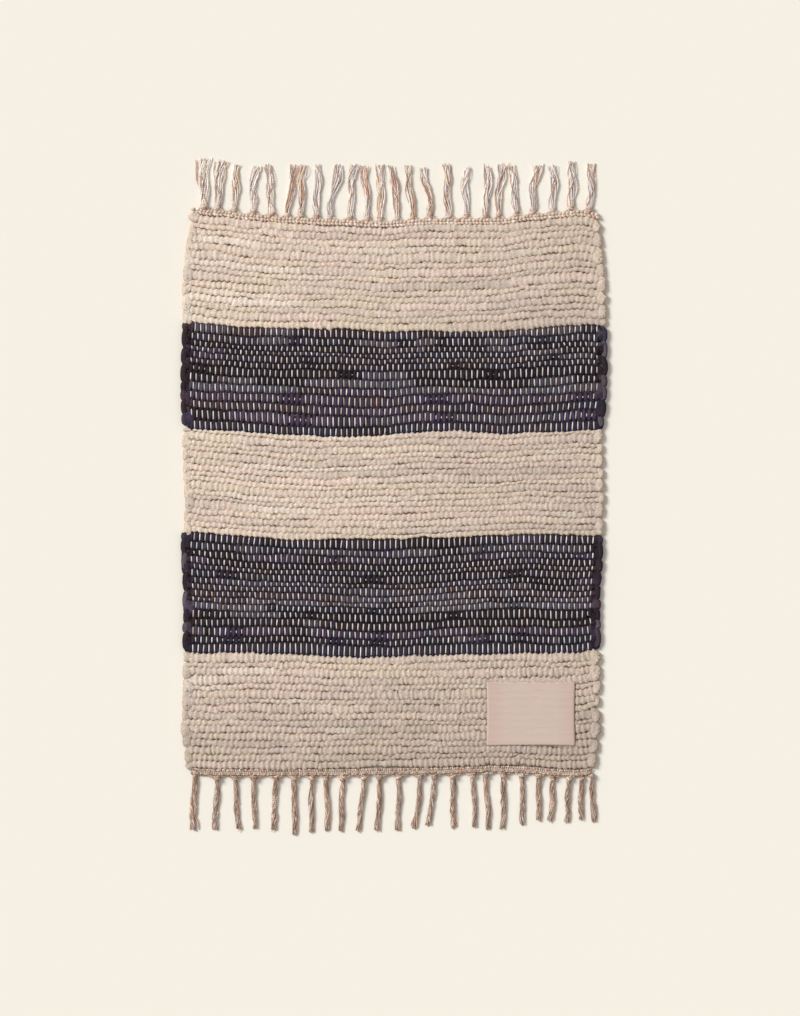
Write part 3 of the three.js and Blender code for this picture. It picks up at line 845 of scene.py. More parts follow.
# The dark strip carried up a side between its picks shows as lobes: how long they are, how wide, how far
# they bow out and in at their ends, how far one reaches under the next, how far they lie inside the side
# and how unevenly, how high they are and how much lower at their near ends, how much painted light lightens
# them and how much painted shade darkens their ends. The lengths are millimetres.
LOBE = {
    "least": 15, "most": 34, "half": 4.3, "bow": 1.7, "tuck": 3.4, "under": 4.6, "inset": 0.4, "uneven": 0,
    "top": 8.0, "near_drop": 1.6, "light": 1.25, "painted_end_shade": 0.45,
}
LOBE_STEPS = 10
# The lots of the lobes, by their places in the dark rag's palette: mostly black, and no violet.
LOBE_LOTS = (0, 0, 1, 3, 4)


def side_lobes(strands, ends, side, lot, dice):
    """The lobes along one side of a band, from its first pick to its last. One end of each lies
    over the end of the next."""
    rag = lot["rag"]
    low, high = SEAMS[ends[0]] + 2 * MM, SEAMS[ends[1] + 1] - 2 * MM
    part = np.linspace(0, 1, LOBE_STEPS)
    while low < high - 6 * MM:
        reach = min(dice.uniform(LOBE["least"], LOBE["most"]) * MM, high - low)
        y = low + reach * part
        round_off = np.sqrt(np.clip(1 - (2 * part - 1) ** 6, 0, 1)) * 0.9 + 0.1
        half = LOBE["half"] * MM * dice.uniform(0.85, 1.15) * round_off
        bow = LOBE["bow"] * MM * dice.uniform(0.2, 1) * np.sin(np.pi * part)
        tucked = LOBE["tuck"] * MM * np.abs(2 * part - 1) ** 3
        inset = LOBE["inset"] + LOBE["uneven"] * dice.uniform(-1, 1)
        x = side * (side_place(side, y) - inset * MM - half + bow - tucked)
        y = cloth_point(np.full(LOBE_STEPS, float(side)), y)[1]
        top = LOBE["top"] * MM + dice.uniform(-0.5, 0) * MM - LOBE["near_drop"] * MM * (1 - part) ** 3
        bottom = np.full(LOBE_STEPS, 0.6 * MM)
        run = np.stack([x, y, half, top, bottom], axis=-1)
        # Random tone of each lobe, times the painted shade towards the near end and the right side.
        shade = dice.uniform(0.85, 1.1) * painted_light_share(x, y)[:, None] ** rag.soil
        # Painted shade at both ends of each lobe.
        shade = shade * (1 - LOBE["painted_end_shade"] * np.abs(2 * part - 1) ** 4)[:, None]
        # Painted light: the lobes' dye is lightened.
        dyes = np.array(lot["lots"][0][dice.choice(LOBE_LOTS)]) * shade * LOBE["light"]
        rings = weft_rings(run, WEFT_RING["dark"])
        strands.add(rings, dyes, running_length(run[:, :2]), valley_tints(rag))
        low += reach - LOBE["under"] * MM


# Where along a pick's depth a warp end that crosses over it has its points, how far it has dropped there,
# in millimetres, and how much of its width and light it has left. The light it loses where it dives into
# the weft is painted shade.
CROSSING = {
    "natural": table_rows("place drop left", (-0.7, 1.6, 0.6), (0, 0, 1.0), (0.7, 1.6, 0.6)),
    "dark": table_rows(
        "place drop left",
        (-0.9, 3.6, 0.22), (-0.6, 0.5, 0.95), (0, 0, 1.0), (0.6, 0.5, 0.95), (0.9, 3.6, 0.22),
    ),
}
# How much light a warp end's dye keeps where it passes under a pick, as painted shade.
UNDER_PAINTED_LIGHT = {"natural": 0.85, "dark": 0.12}
# Where the weft bulges over a warp end, how far the end sinks, how much shorter it shows and how
# much narrower.
COVER_SINK = 0.4 * MM
COVER_SHARE = 0.55
COVER_NARROW = 0.3
# How dull and how bright the places are where a warp end crosses over.
DASH_SHADES = (0.72, 1.15)


def warp_end(number, warp, rags, dice):
    """One warp end from the near knotted row to the far one, over and under the picks: its points, its
    widths and how much light each place keeps, as painted shade times each crossing's random brightness."""
    places = []
    slant = dice.normal(0, 0.28 * MM, LAST_PICK + 1)
    across = warp_across(warp, number)
    x = across * CLOTH_WIDTH / 2
    for pick in range(1, LAST_PICK):
        yarn = BANDS[PICK_BAND[pick]]["yarn"]
        rag = rags[yarn]
        low = seam_place(pick, x)
        high = seam_place(pick + 1, x)
        middle = (low + high) / 2
        half = (high - low) / 2
        if (pick + number) % 2 == 0:
            # Painted shade where the end passes under the pick.
            places.append((middle, CREST - rag.warp_lift, 0, warp.thickness, UNDER_PAINTED_LIGHT[yarn]))
            continue
        covered = cover(pick, x) if yarn == "dark" else 0
        lift = rag.warp_lift + dice.normal(0, 0.15 * MM) - COVER_SINK * covered
        shine = dice.uniform(*DASH_SHADES)
        for row in CROSSING[yarn]:
            place = row["place"] * (1 - COVER_SHARE * covered)
            width = rag.warp_width * (0.5 + 0.5 * row["left"]) * (1 - COVER_NARROW * covered)
            height = lift - row["drop"] * MM
            places.append((middle + place * half, height, slant[pick] * place, width, row["left"] * shine))
    y, z, slide, widths, lights = np.array(places).T
    x, y = cloth_point(np.full(len(y), across), y)
    return np.stack([x + slide, y, z], axis=-1), widths, lights


def warp_half(numbers, warp, rags, lots, dice):
    """Half of the warp."""
    strands = Strands()
    for number in numbers:
        points, widths, lights = warp_end(number, warp, rags, dice)
        along = running_length(points)
        colour = dyed(along, lots, (0.01, 0.07), dice, 0.05)
        # Random duller and brighter stretches along each warp end: the warp's own tone, no painted shade.
        soil = np.interp(along, along[::9], dice.uniform(0.8, 1.12, len(along[::9])))
        strands.cord(points, widths / 2, 5, colour * (soil * lights)[:, None], 0.75)
    return strands


def wire(material, node, inputs):
    """Sets a node's inputs. One that is given a node is linked to that node's first output, and
    one that is given an output is linked to it."""
    for name, value in inputs.items():
        if isinstance(value, bpy.types.Node):
            value = value.outputs[0]
        if isinstance(value, bpy.types.NodeSocket):
            material.node_tree.links.new(value, node.inputs[name])
        else:
            node.inputs[name].default_value = value


def add_node(material, kind, inputs=None, **settings):
    """Adds one shader node with its inputs and settings."""
    node = material.node_tree.nodes.new("ShaderNode" + kind)
    for name, value in settings.items():
        setattr(node, name, value)
    wire(material, node, inputs or {})
    return node


def blank_material(name):
    """A material, its shader, and the function that adds a node to it."""
    material = bpy.data.materials.new(name)
    material.use_nodes = True
    return material, material.node_tree.nodes["Principled BSDF"], partial(add_node, material)


def cotton_jersey(name, lift, shine, fleck, pale, tints):
    """Cotton jersey cut in strips and beaten in as weft. The eye sees a soft matte cloth with
    lengthwise folds, fine cross pleats where the warp grips it, and heathered colour."""
    material, shader, add = blank_material(name)
    fleck, pale, first, second = ((*linear(code), 1) for code in (fleck, pale, *tints))
    lot = add("VertexColor", layer_name="dye")
    place = add("TexCoord").outputs["Object"]
    strand = add("UVMap", uv_map="strand")
    # The heather is about 1 mm in the yarn and is drawn at 2.4 mm so that it shows.
    heather = add("TexNoise", {"Vector": place, "Scale": 1 / (2.4 * MM), "Detail": 3, "Roughness": 0.7})
    shade = add("MapRange", {
        "Value": heather, "From Min": 0.3, "From Max": 0.7, "To Min": 1 - lift, "To Max": 1 + lift,
    })
    # Folds run along the strip, five round it, and waver over some 12 mm.
    folds = add("Mapping", {"Vector": strand, "Scale": (5, 1 / (12 * MM), 1)})
    fold = add("TexNoise", {"Vector": folds, "Scale": 1, "Detail": 3, "Roughness": 0.6})
    # The raw edge of the strip shows as a thin dark line where a fold ends.
    edge_side = add("Math", {0: fold, 1: 0.44}, operation="SUBTRACT")
    edge_way = add("Math", {0: edge_side}, operation="ABSOLUTE")
    edge = add("MapRange", {"Value": edge_way, "From Max": 0.03, "To Min": 0.72})
    depth = add("Math", {0: shade, 1: edge}, operation="MULTIPLY")
    colour = add("VectorMath", {0: lot, "Scale": depth}, operation="SCALE")
    # A few specks of other lots, about 2 mm across.
    speck = add("TexNoise", {"Vector": place, "Scale": 1 / (3.5 * MM), "Detail": 1})
    speck_share = add("MapRange", {"Value": speck, "From Min": 0.71, "From Max": 0.76, "To Max": 0.6})
    flecked = add("Mix", {0: speck_share, 6: colour, 7: fleck}, data_type="RGBA").outputs[2]
    # A few bleached places, about 8 mm long.
    wash_place = add("Mapping", {
        "Vector": place, "Location": (0.7, 0.2, 0.4), "Scale": (1 / (14 * MM), 1 / (8 * MM), 1),
    })
    wash = add("TexNoise", {"Vector": wash_place, "Scale": 1, "Detail": 2, "Roughness": 0.7})
    wash_share = add("MapRange", {"Value": wash, "From Min": 0.7, "From Max": 0.78, "To Max": 0.8})
    washed = add("Mix", {0: wash_share, 6: flecked, 7: pale}, data_type="RGBA").outputs[2]
    # The rags' lots change over about a hand's width along the rug and a few picks across it.
    drift_place = add("Mapping", {"Vector": place, "Scale": (1 / (70 * MM), 1 / (24 * MM), 1)})
    drift_noise = add("TexNoise", {"Vector": drift_place, "Scale": 1, "Detail": 2, "Roughness": 0.6})
    drift_share = add("MapRange", {"Value": drift_noise, "From Min": 0.36, "From Max": 0.64})
    tint = add("Mix", {0: drift_share, 6: first, 7: second}, data_type="RGBA").outputs[2]
    tinted = add("Mix", {0: 1, 6: washed, 7: tint}, data_type="RGBA", blend_type="MULTIPLY").outputs[2]
    # The knit's wales are 0.7 mm apart and are drawn at 2 mm.
    grain = add("TexNoise", {"Vector": place, "Scale": 1 / (2 * MM), "Detail": 2})
    relief = add("Math", {0: fold, 1: 1.6, 2: grain}, operation="MULTIPLY_ADD")
    bump = add("Bump", {"Height": relief, "Strength": 0.7, "Distance": 0.9 * MM})
    wire(material, shader, {
        "Base Color": tinted, "Normal": bump, "Roughness": 0.9, "Specular IOR Level": shine,
        "Sheen Weight": shine, "Sheen Roughness": 0.5,
    })
    return material


def cotton_string(name, ply, contrast):
    """Spun cotton string of two plies. The eye sees a fine slanting twist and a dry, matte
    thread with small changes of shade."""
    material, shader, add = blank_material(name)
    lot = add("VertexColor", layer_name="dye")
    place = add("TexCoord").outputs["Object"]
    strand = add("UVMap", uv_map="strand")
    # A real ply comes round every 2 mm or so, and is drawn as long as the ply given.
    twist = add("Mapping", {"Vector": strand, "Scale": (2, 1 / ply, 1)})
    parts = add("SeparateXYZ", {"Vector": twist})
    slant = add("Math", {0: parts.outputs["X"], 1: parts.outputs["Y"]}, operation="ADD")
    turn = add("Math", {0: slant, 1: 2 * math.pi}, operation="MULTIPLY")
    wave = add("Math", {0: turn}, operation="SINE")
    fibre = add("TexNoise", {"Vector": place, "Scale": 1 / (1.5 * MM), "Detail": 3})
    relief = add("Math", {0: wave, 1: 0.35, 2: fibre}, operation="MULTIPLY_ADD")
    # Painted shade in the grooves of the twist: the colour follows the same relief as the bump, the fibre's
    # noise in it too.
    shade = add("MapRange", {
        "Value": relief, "From Min": 0.1, "From Max": 0.9,
        "To Min": 1 - contrast, "To Max": 1 + contrast * 0.7,
    })
    colour = add("VectorMath", {0: lot, "Scale": shade}, operation="SCALE")
    bump = add("Bump", {"Height": relief, "Strength": 0.6, "Distance": 0.4 * MM})
    wire(material, shader, {
        "Base Color": colour, "Normal": bump, "Roughness": 0.9, "Specular IOR Level": 0.25,
        "Sheen Weight": 0.15,
    })
    return material


def settings(context):
    """The rug's settings."""
    return context.scene.chindi_rug


def palette_of(group, *names):
    """The dyes of a group by name."""
    return [tuple(getattr(group, name)) for name in names]


# The first seeds of the weft's bands and of the halves of the warp.
WEFT_SEED = 20
WARP_SEED = 40


class RUG_OT_weft(bpy.types.Operator):
    """Weaves the five bands of rag weft"""

    bl_idname = "rug.weft"
    bl_label = "Weave the weft"

    def execute(self, context):
        rug = settings(context)
        natural = palette_of(rug.natural, "unbleached", "bleached", "blush", "sage", "ash")
        dark = palette_of(rug.dark, "black", "ink", "violet", "aubergine", "slate")
        lots = {
            "natural": {
                "rag": rug.natural,
                "lots": (natural, (5, 1, 2.5, 2, 2.5)),
                "lengths": (0.015, 0.2),
                "material": cotton_jersey(
                    "natural_cotton_jersey_rag", 0.2, 0.2, "#b98a6c", "#e4e5df", ("#fefbf5", "#fffaf8")
                ),
            },
            "dark": {
                "rag": rug.dark,
                "lots": (dark, (5, 2, 2, 2, 2)),
                "lengths": (0.08, 0.4),
                "material": cotton_jersey(
                    "dark_cotton_jersey_rag", 0.45, 0.08, "#6b6570", "#6a6672", ("#fff0ec", "#eeeaff")
                ),
            },
        }
        for number, band in enumerate(BANDS):
            lot = lots[band["yarn"]]
            strands = weft_band(number, lot, rug.warp, np.random.default_rng(WEFT_SEED + number))
            piece = strands.piece("weft_" + band["name"], lot["material"])
            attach(piece, "root")
            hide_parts("rug_body")
        return {"FINISHED"}


class RUG_OT_warp(bpy.types.Operator):
    """Strings the cotton warp through the weft"""

    bl_idname = "rug.warp"
    bl_label = "String the warp"

    def execute(self, context):
        rug = settings(context)
        rags = {"natural": rug.natural, "dark": rug.dark}
        lots = (palette_of(rug.warp, "cream", "straw", "rust", "sea"), (9, 3, 0.4, 0.3))
        material = cotton_string("cream_cotton_warp_string", 2.5 * MM, 0.12)
        half = rug.warp.ends // 2
        for name, numbers in (("left", range(half)), ("right", range(half, rug.warp.ends))):
            dice = np.random.default_rng(WARP_SEED + numbers[0])
            strands = warp_half(numbers, rug.warp, rags, lots, dice)
            piece = strands.piece("warp_ends_" + name, material)
            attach(piece, "root")
        return {"FINISHED"}


def tassel_axis(fringe, tassel, part, sway):
    """The middle line of a tassel at shares of the way from its knot to its tip."""
    direction = fringe["direction"]
    side = "far" if direction > 0 else "near"
    root = tassel["root"] * MM
    edge = end_place(side, np.array([root]))[0]
    knot_out = tassel.get("out", fringe["out"])
    bend = tassel["lean"] * MM * part ** 1.3
    swing = sway * np.sin(part * np.pi * 2.1 + tassel["root"]) * part * (1.4 - part)
    out = knot_out * MM + (tassel["reach"] - knot_out) * MM * part
    return root + bend + swing, edge + direction * out


STRAND_STEPS = 20
PLY_RADIUS = 0.5 * MM
LIGHTEST = 1.1


def tassel_strands(strands, fringe, tassel, lots, dice):
    """The yarn of one tassel: a flattened, twisted bundle that lies on the floor."""
    count = round(fringe["strands"] * tassel["bulk"])
    radius = fringe["strand"] / 2 * MM
    part = np.linspace(0, 1, STRAND_STEPS)
    twist = dice.choice((-1, 1)) * dice.uniform(0.3, 1) * fringe["twist"]
    width = fringe["half_width"] * MM * math.sqrt(tassel["bulk"])
    belly = dice.uniform(0.3, 0.7)
    shape = np.interp(part, (0, 0.12, belly, 0.85, 1), (0.6, 0.75, 1.1, 0.8, 1.1))
    middle, y = tassel_axis(fringe, tassel, part, fringe["sway"] * MM)
    for order in range(count):
        angle = 2 * np.pi * order / (count - 1) + twist * part
        away = 0 if order == count - 1 else 1
        stray = dice.normal(0, 1) * fringe["loose"] * 1.5 * MM
        bend = stray * np.sin(np.pi * part * dice.uniform(0.8, 2.2)) * part
        crinkle = dice.normal(0, 0.25 * MM, STRAND_STEPS) * (part > 0)
        spread = dice.normal(0, 0.7 * MM * tassel["bulk"] ** 2) * part ** 3
        x = middle + away * width * shape * np.cos(angle) + bend + spread + crinkle
        z = radius + fringe["half_height"] * MM * (1 + away * np.sin(angle)) * (1 - 0.35 * part)
        lengthen = dice.normal(0, 1.3 * MM) * fringe["direction"]
        points = np.stack([x, y + lengthen * part, z], axis=-1)
        thin = radius * np.interp(part, (0, 0.9, 1), (1, 1, 0.55)) * dice.uniform(0.85, 1.15, STRAND_STEPS)
        dyes = dyed(running_length(points), lots, np.array(fringe["lot"]) * MM, dice, 0.05)
        shades = dice.uniform(fringe["mottle"], LIGHTEST, STRAND_STEPS)[:, None]
        strands.cord(points, thin, 5, dyes * shades * fringe["light"])


def fine_plies(strands, fringe, tassel, lots, dice):
    """Thin plies wound over a tassel, some of them worked loose."""
    palette, weights = lots
    part = np.linspace(0, 1, STRAND_STEPS)
    middle, y = tassel_axis(fringe, tassel, part, fringe["sway"] * MM)
    width = (fringe["half_width"] + fringe["strand"] / 2) * MM
    height = (2 * fringe["half_height"] + fringe["strand"]) * MM
    for _ in range(fringe["plies"]):
        start = dice.uniform(0, 2 * np.pi)
        turn = start + dice.choice((-1, 1)) * dice.uniform(1, 2.5) * np.pi * part
        loose = dice.uniform(0, 1.2) * fringe["loose"] * MM * part
        x = middle + (width * dice.uniform(0.7, 1.1) + loose) * np.cos(turn)
        z = PLY_RADIUS + height * (0.5 + 0.5 * np.sin(turn)) * (1 - 0.3 * part)
        lot = np.array(palette[dice.choice(len(palette), p=np.array(weights) / sum(weights))])
        dyes = lot * dice.uniform(fringe["mottle"], LIGHTEST, STRAND_STEPS)[:, None]
        strands.cord(np.stack([x, y, z], axis=-1), PLY_RADIUS, 4, dyes)


# The coils of a knot: how far each lies from the knot's middle and how wide it is, in
# millimetres, and how it slants. A coil goes a little more than once round, in so many steps.
KNOT_COILS = table_rows("along wide slant", (-1.9, 2.1, 0.1), (-0.3, 2.9, 0.35), (1.2, 2.5, -0.3))
COIL_RADIUS = 1.35 * MM
COIL_TURNS = 1.15
COIL_STEPS = 14
KNOT_HEIGHT = 3.7 * MM


def knot_place(fringe, tassel):
    """The middle of a tassel's knot."""
    return [value[0] for value in tassel_axis(fringe, tassel, np.array([0.0]), 0)]


def tassel_knot(strands, fringe, tassel, lots, dice):
    """The knot of one tassel: fat coils of yarn drawn round the bundle."""
    middle, y = knot_place(fringe, tassel)
    scale = fringe["knot"] * tassel.get("knot", 1) * tassel["bulk"] ** 0.35 * dice.uniform(0.9, 1.1)
    turns = np.linspace(0, 2 * np.pi * COIL_TURNS, COIL_STEPS)
    lean = dice.choice((-1, 1))
    for coil in KNOT_COILS:
        start = dice.uniform(0, 2 * np.pi)
        slant = lean * coil["slant"] + dice.uniform(-0.15, 0.15)
        wide = coil["wide"] * MM * scale
        x = middle + wide * np.cos(turns + start)
        z = KNOT_HEIGHT * scale + wide * 0.8 * np.sin(turns + start)
        along = y + coil["along"] * MM * scale + slant * wide * np.cos(turns + start)
        dyes = one_dye(lots, dice, 0.06) * dice.uniform(0.88, 1.06, COIL_STEPS)[:, None]
        strands.cord(np.stack([x, along, z], axis=-1), COIL_RADIUS * scale, 6, dyes)


# The twined row: where its two lines of floats lie in the depth of the first or last pick, and
# which way they slant. They lie over a core of warp ends, whose middle is so much lower.
TWINED_LINES = table_rows("depth slant", (0.3, 1), (0.74, -1))
TWINED_REACH = 0.985
CORE_STEPS = 120
CORE_DROP = 2.1
FLOAT_BEND = 1.9 * MM
FLOAT_STRAY = 0.3 * MM


def twined_row(strands, side, fringe, lots, dice):
    """The twined row that holds the last pick: short floats of string that slant over the warp."""
    pick = ROW_PICKS[side]
    depth = SEAMS[pick + 1] - SEAMS[pick]
    core = np.linspace(-TWINED_REACH, TWINED_REACH, CORE_STEPS)
    x, y = cloth_point(core, np.full(CORE_STEPS, SEAMS[pick] + depth / 2))
    size = fringe["float"]
    points = np.stack([x, y, np.full(CORE_STEPS, (size["height"] - CORE_DROP) * MM)], axis=-1)
    strands.cord(points, depth * 0.46, 6, np.array(lots[0][2]) * fringe["row_light"], 0.4)
    part = np.linspace(-1, 1, 5)
    count = int(TWINED_REACH * CLOTH_WIDTH / (size["step"] * MM))
    for line in TWINED_LINES:
        share_along = line["depth"] if fringe["direction"] < 0 else 1 - line["depth"]
        for number in range(count):
            place = TWINED_REACH * (2 * (number + dice.uniform(-0.2, 0.2)) / (count - 1) - 1)
            across = place + part * size["half_length"] * MM / (CLOTH_WIDTH / 2)
            rise = line["slant"] * size["half_rise"] * MM * dice.uniform(0.7, 1.2)
            y = SEAMS[pick] + depth * share_along + rise * part + dice.normal(0, FLOAT_STRAY)
            x, y = cloth_point(np.clip(across, -1, 1), y)
            z = size["height"] * MM - FLOAT_BEND * part ** 2 + dice.normal(0, FLOAT_STRAY)
            radius = size["radius"] * MM * np.sqrt(1.02 - part ** 2 * 0.75) * dice.uniform(0.85, 1.15)
            strands.cord(np.stack([x, y, z], axis=-1), radius, 6, one_dye(lots, dice, 0.07))


END_RADIUS = 0.95 * MM


def gathered_ends(strands, side, fringe, warp, lots, dice):
    """The warp ends that run from the cloth to the knots in low arches."""
    direction = fringe["direction"]
    roots = np.array([tassel["root"] for tassel in fringe["tassels"]]) * MM
    part = np.linspace(0, 1, 7)[:, None]
    edge = np.array([SEAMS[0 if side == "near" else -1]])
    for number in range(warp.ends):
        x, y = (value[0] for value in cloth_point(np.array([warp_across(warp, number)]), edge))
        tassel = fringe["tassels"][int(np.argmin(np.abs(roots - x)))]
        knot_x, knot_y = knot_place(fringe, tassel)
        first = np.array([x, y - direction * 4.5 * MM, 3.0 * MM])
        bend = np.array([x * 0.9 + knot_x * 0.1, y + direction * 1.2 * MM, 5.0 * MM])
        last = np.array([knot_x + dice.uniform(-1, 1) * MM, knot_y, dice.uniform(1.5, 4) * MM])
        line = first * (1 - part) ** 2 + bend * (2 * part * (1 - part)) + last * part ** 2
        strands.cord(line, END_RADIUS, 5, one_dye(lots, dice, 0.06))


# How much of each dye there is, from the tassels' strands to the row: taupe, terracotta, tan,
# fog, umber and chalk.
FRINGE_WEIGHTS = {
    "near": {
        "strands": (4, 4, 4, 0.3, 1.5, 0.3), "plies": (2, 3, 3, 0.5, 1.5, 1),
        "knots": (3, 2.5, 4, 0.1, 1, 0), "row": (3, 1.5, 5, 0.1, 1, 0),
    },
    "far": {
        "strands": (0.3, 1, 3, 4, 0, 4), "plies": (1, 5, 2, 2, 0, 1),
        "knots": (0.5, 3, 6, 0.3, 0.3, 0.6), "row": (0, 0.3, 8, 0, 0, 1),
    },
}


class RUG_OT_fringes(bpy.types.Operator):
    """Ties the twined rows, the knots and the tassels at both ends"""

    bl_idname = "rug.fringes"
    bl_label = "Tie the fringes"

    def execute(self, context):
        rug = settings(context)
        palette = palette_of(rug.fringe, "taupe", "terracotta", "tan", "fog", "umber", "chalk")
        for side, fringe in FRINGES.items():
            lots = {use: (palette, weights) for use, weights in FRINGE_WEIGHTS[side].items()}
            dice = np.random.default_rng(fringe["seed"])
            material = cotton_string("tassel_cotton_string_" + side, 3.2 * MM, fringe["grain"])
            yarn = Strands()
            for tassel in fringe["tassels"]:
                tassel_strands(yarn, fringe, tassel, lots["strands"], dice)
                fine_plies(yarn, fringe, tassel, lots["plies"], dice)
            row = Strands()
            for tassel in fringe["tassels"]:
                tassel_knot(row, fringe, tassel, lots["knots"], dice)
            twined_row(row, side, fringe, lots["row"], dice)
            gathered_ends(row, side, fringe, rug.warp, lots["row"], dice)
            for name, strands in (("tassels_", yarn), ("knotted_row_", row)):
                piece = strands.piece(name + side, material)
                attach(piece, "root")
                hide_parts("fringe_" + side)
        return {"FINISHED"}


def woven_tape(sizes):
    """A fine woven cotton tape. The eye sees a smooth matte ribbon with close threads across
    it, a little pinker at its two sides."""
    material, shader, add = blank_material("woven_cotton_tape")
    middle, side, drawn = ((*colour, 1) for colour in (sizes.middle, sizes.side, sizes.drawn))
    place = add("UVMap", uv_map="tape")
    parts = add("SeparateXYZ", {"Vector": place})
    # Threads across the tape are 0.3 mm apart and are drawn at 1.2 mm.
    threads = add("Mapping", {"Vector": place, "Scale": (1 / (30 * MM), 1 / (1.2 * MM), 1)})
    thread = add("TexNoise", {"Vector": threads, "Scale": 1, "Detail": 2})
    half = (PATCH_HIGH.x - PATCH_LOW.x) / 2
    aside = add("Math", {0: parts}, operation="ABSOLUTE")
    toward = add("MapRange", {"Value": aside, "From Min": half * 0.55, "From Max": half * 0.98})
    blend = add("Mix", {0: toward, 6: middle, 7: side}, data_type="RGBA").outputs[2]
    spread = {"From Min": 0.3, "From Max": 0.7, "To Min": 0.95}
    shade = add("MapRange", {"Value": thread, **spread, "To Max": 1.04})
    # The tape's fine grain is 0.3 mm too and is drawn at 1.4 mm.
    grain = add("TexNoise", {"Vector": place, "Scale": 1 / (1.4 * MM), "Detail": 1})
    speckle = add("MapRange", {"Value": grain, **spread, "To Max": 1.05})
    light = add("Math", {0: shade, 1: speckle}, operation="MULTIPLY")
    # A few threads of the weft are drawn and show a little redder.
    drawn_place = add("Mapping", {
        "Vector": place, "Location": (0.3, 0.6, 0), "Scale": (1 / (28 * MM), 1 / (1.6 * MM), 1),
    })
    drawn_noise = add("TexNoise", {"Vector": drawn_place, "Scale": 1, "Detail": 0})
    drawn_share = add("MapRange", {"Value": drawn_noise, "From Min": 0.74, "From Max": 0.8, "To Max": 0.6})
    streaked = add("Mix", {0: drawn_share, 6: blend, 7: drawn}, data_type="RGBA").outputs[2]
    colour = add("VectorMath", {0: streaked, "Scale": light}, operation="SCALE")
    bump = add("Bump", {"Height": thread, "Strength": 0.3, "Distance": 0.15 * MM})
    wire(material, shader, {
        "Base Color": colour, "Normal": bump, "Roughness": 0.8, "Specular IOR Level": 0.3,
    })
    return material


def patch_grid(bow, columns, rows):
    """The places of the patch's points, in rows from its near edge, round its middle."""
    u, v = np.meshgrid(np.linspace(-1, 1, columns), np.linspace(-1, 1, rows))
    half_x = (PATCH_HIGH.x - PATCH_LOW.x) / 2
    half_y = (PATCH_HIGH.y - PATCH_LOW.y) / 2
    corner = 1 - 0.012 * (np.abs(u) ** 12 * np.abs(v) ** 12)
    x = u * (half_x - bow * (1 - v ** 2)) * corner
    y = v * (half_y - bow * (1 - u ** 2)) * corner
    return x, y


# The seams of the patch lie so far inside its far and near edges. The patch lies so far down in
# the cloth, and its rim is drawn down further.
SEAM_INSET = 0.8 * MM
PATCH_SINK = 1.4 * MM
PATCH_TUCK = 0.2 * MM
PATCH_RIM = 6 * MM
PATCH_THICKNESS = 0.5 * MM
PATCH_POINTS = (48, 36)
# Its slow ripples: how high and how long they are.
PATCH_RIPPLES = {"along": (0.14 * MM, 10.2 * MM), "across": (0.12 * MM, 17 * MM)}
PATCH_TOP = 0.62 * MM
# The share of its stitches that show, the others lie sunk in the cloth, and how thick a stitch is.
STITCHES_SHOWN = 0.5
STITCH_RADIUS = 0.36 * MM
STITCH_SEED = 71


def patch_stitches(sizes, x, y, top, middle):
    """The running stitches along the far and the near edge of the patch."""
    dice = np.random.default_rng(STITCH_SEED)
    strands = Strands()
    part = np.linspace(-1, 1, 5)
    for row, inset in ((0, SEAM_INSET), (-1, -SEAM_INSET)):
        reach = x[row].max() - 1.5 * MM
        for place in np.arange(-reach, reach, sizes.stitch):
            if dice.uniform(0, 1) > STITCHES_SHOWN:
                continue
            along = place + part * sizes.stitch * 0.3
            across = np.interp(along, x[row], y[row]) + inset + dice.normal(0, 0.12 * MM)
            z = np.interp(along, x[row], top[row]) + 0.1 * MM - 0.25 * MM * part ** 2
            points = np.stack([along + middle.x, across + middle.y, z], axis=-1)
            points -= np.array(CLOTH_MIDDLE) * (1, 1, 0)
            strands.cord(points, STITCH_RADIUS, 5, np.array(sizes.thread) * dice.uniform(0.85, 1.2))
    return strands.piece("patch_stitches", cotton_string("sewing_thread", 1 * MM, 0.1))


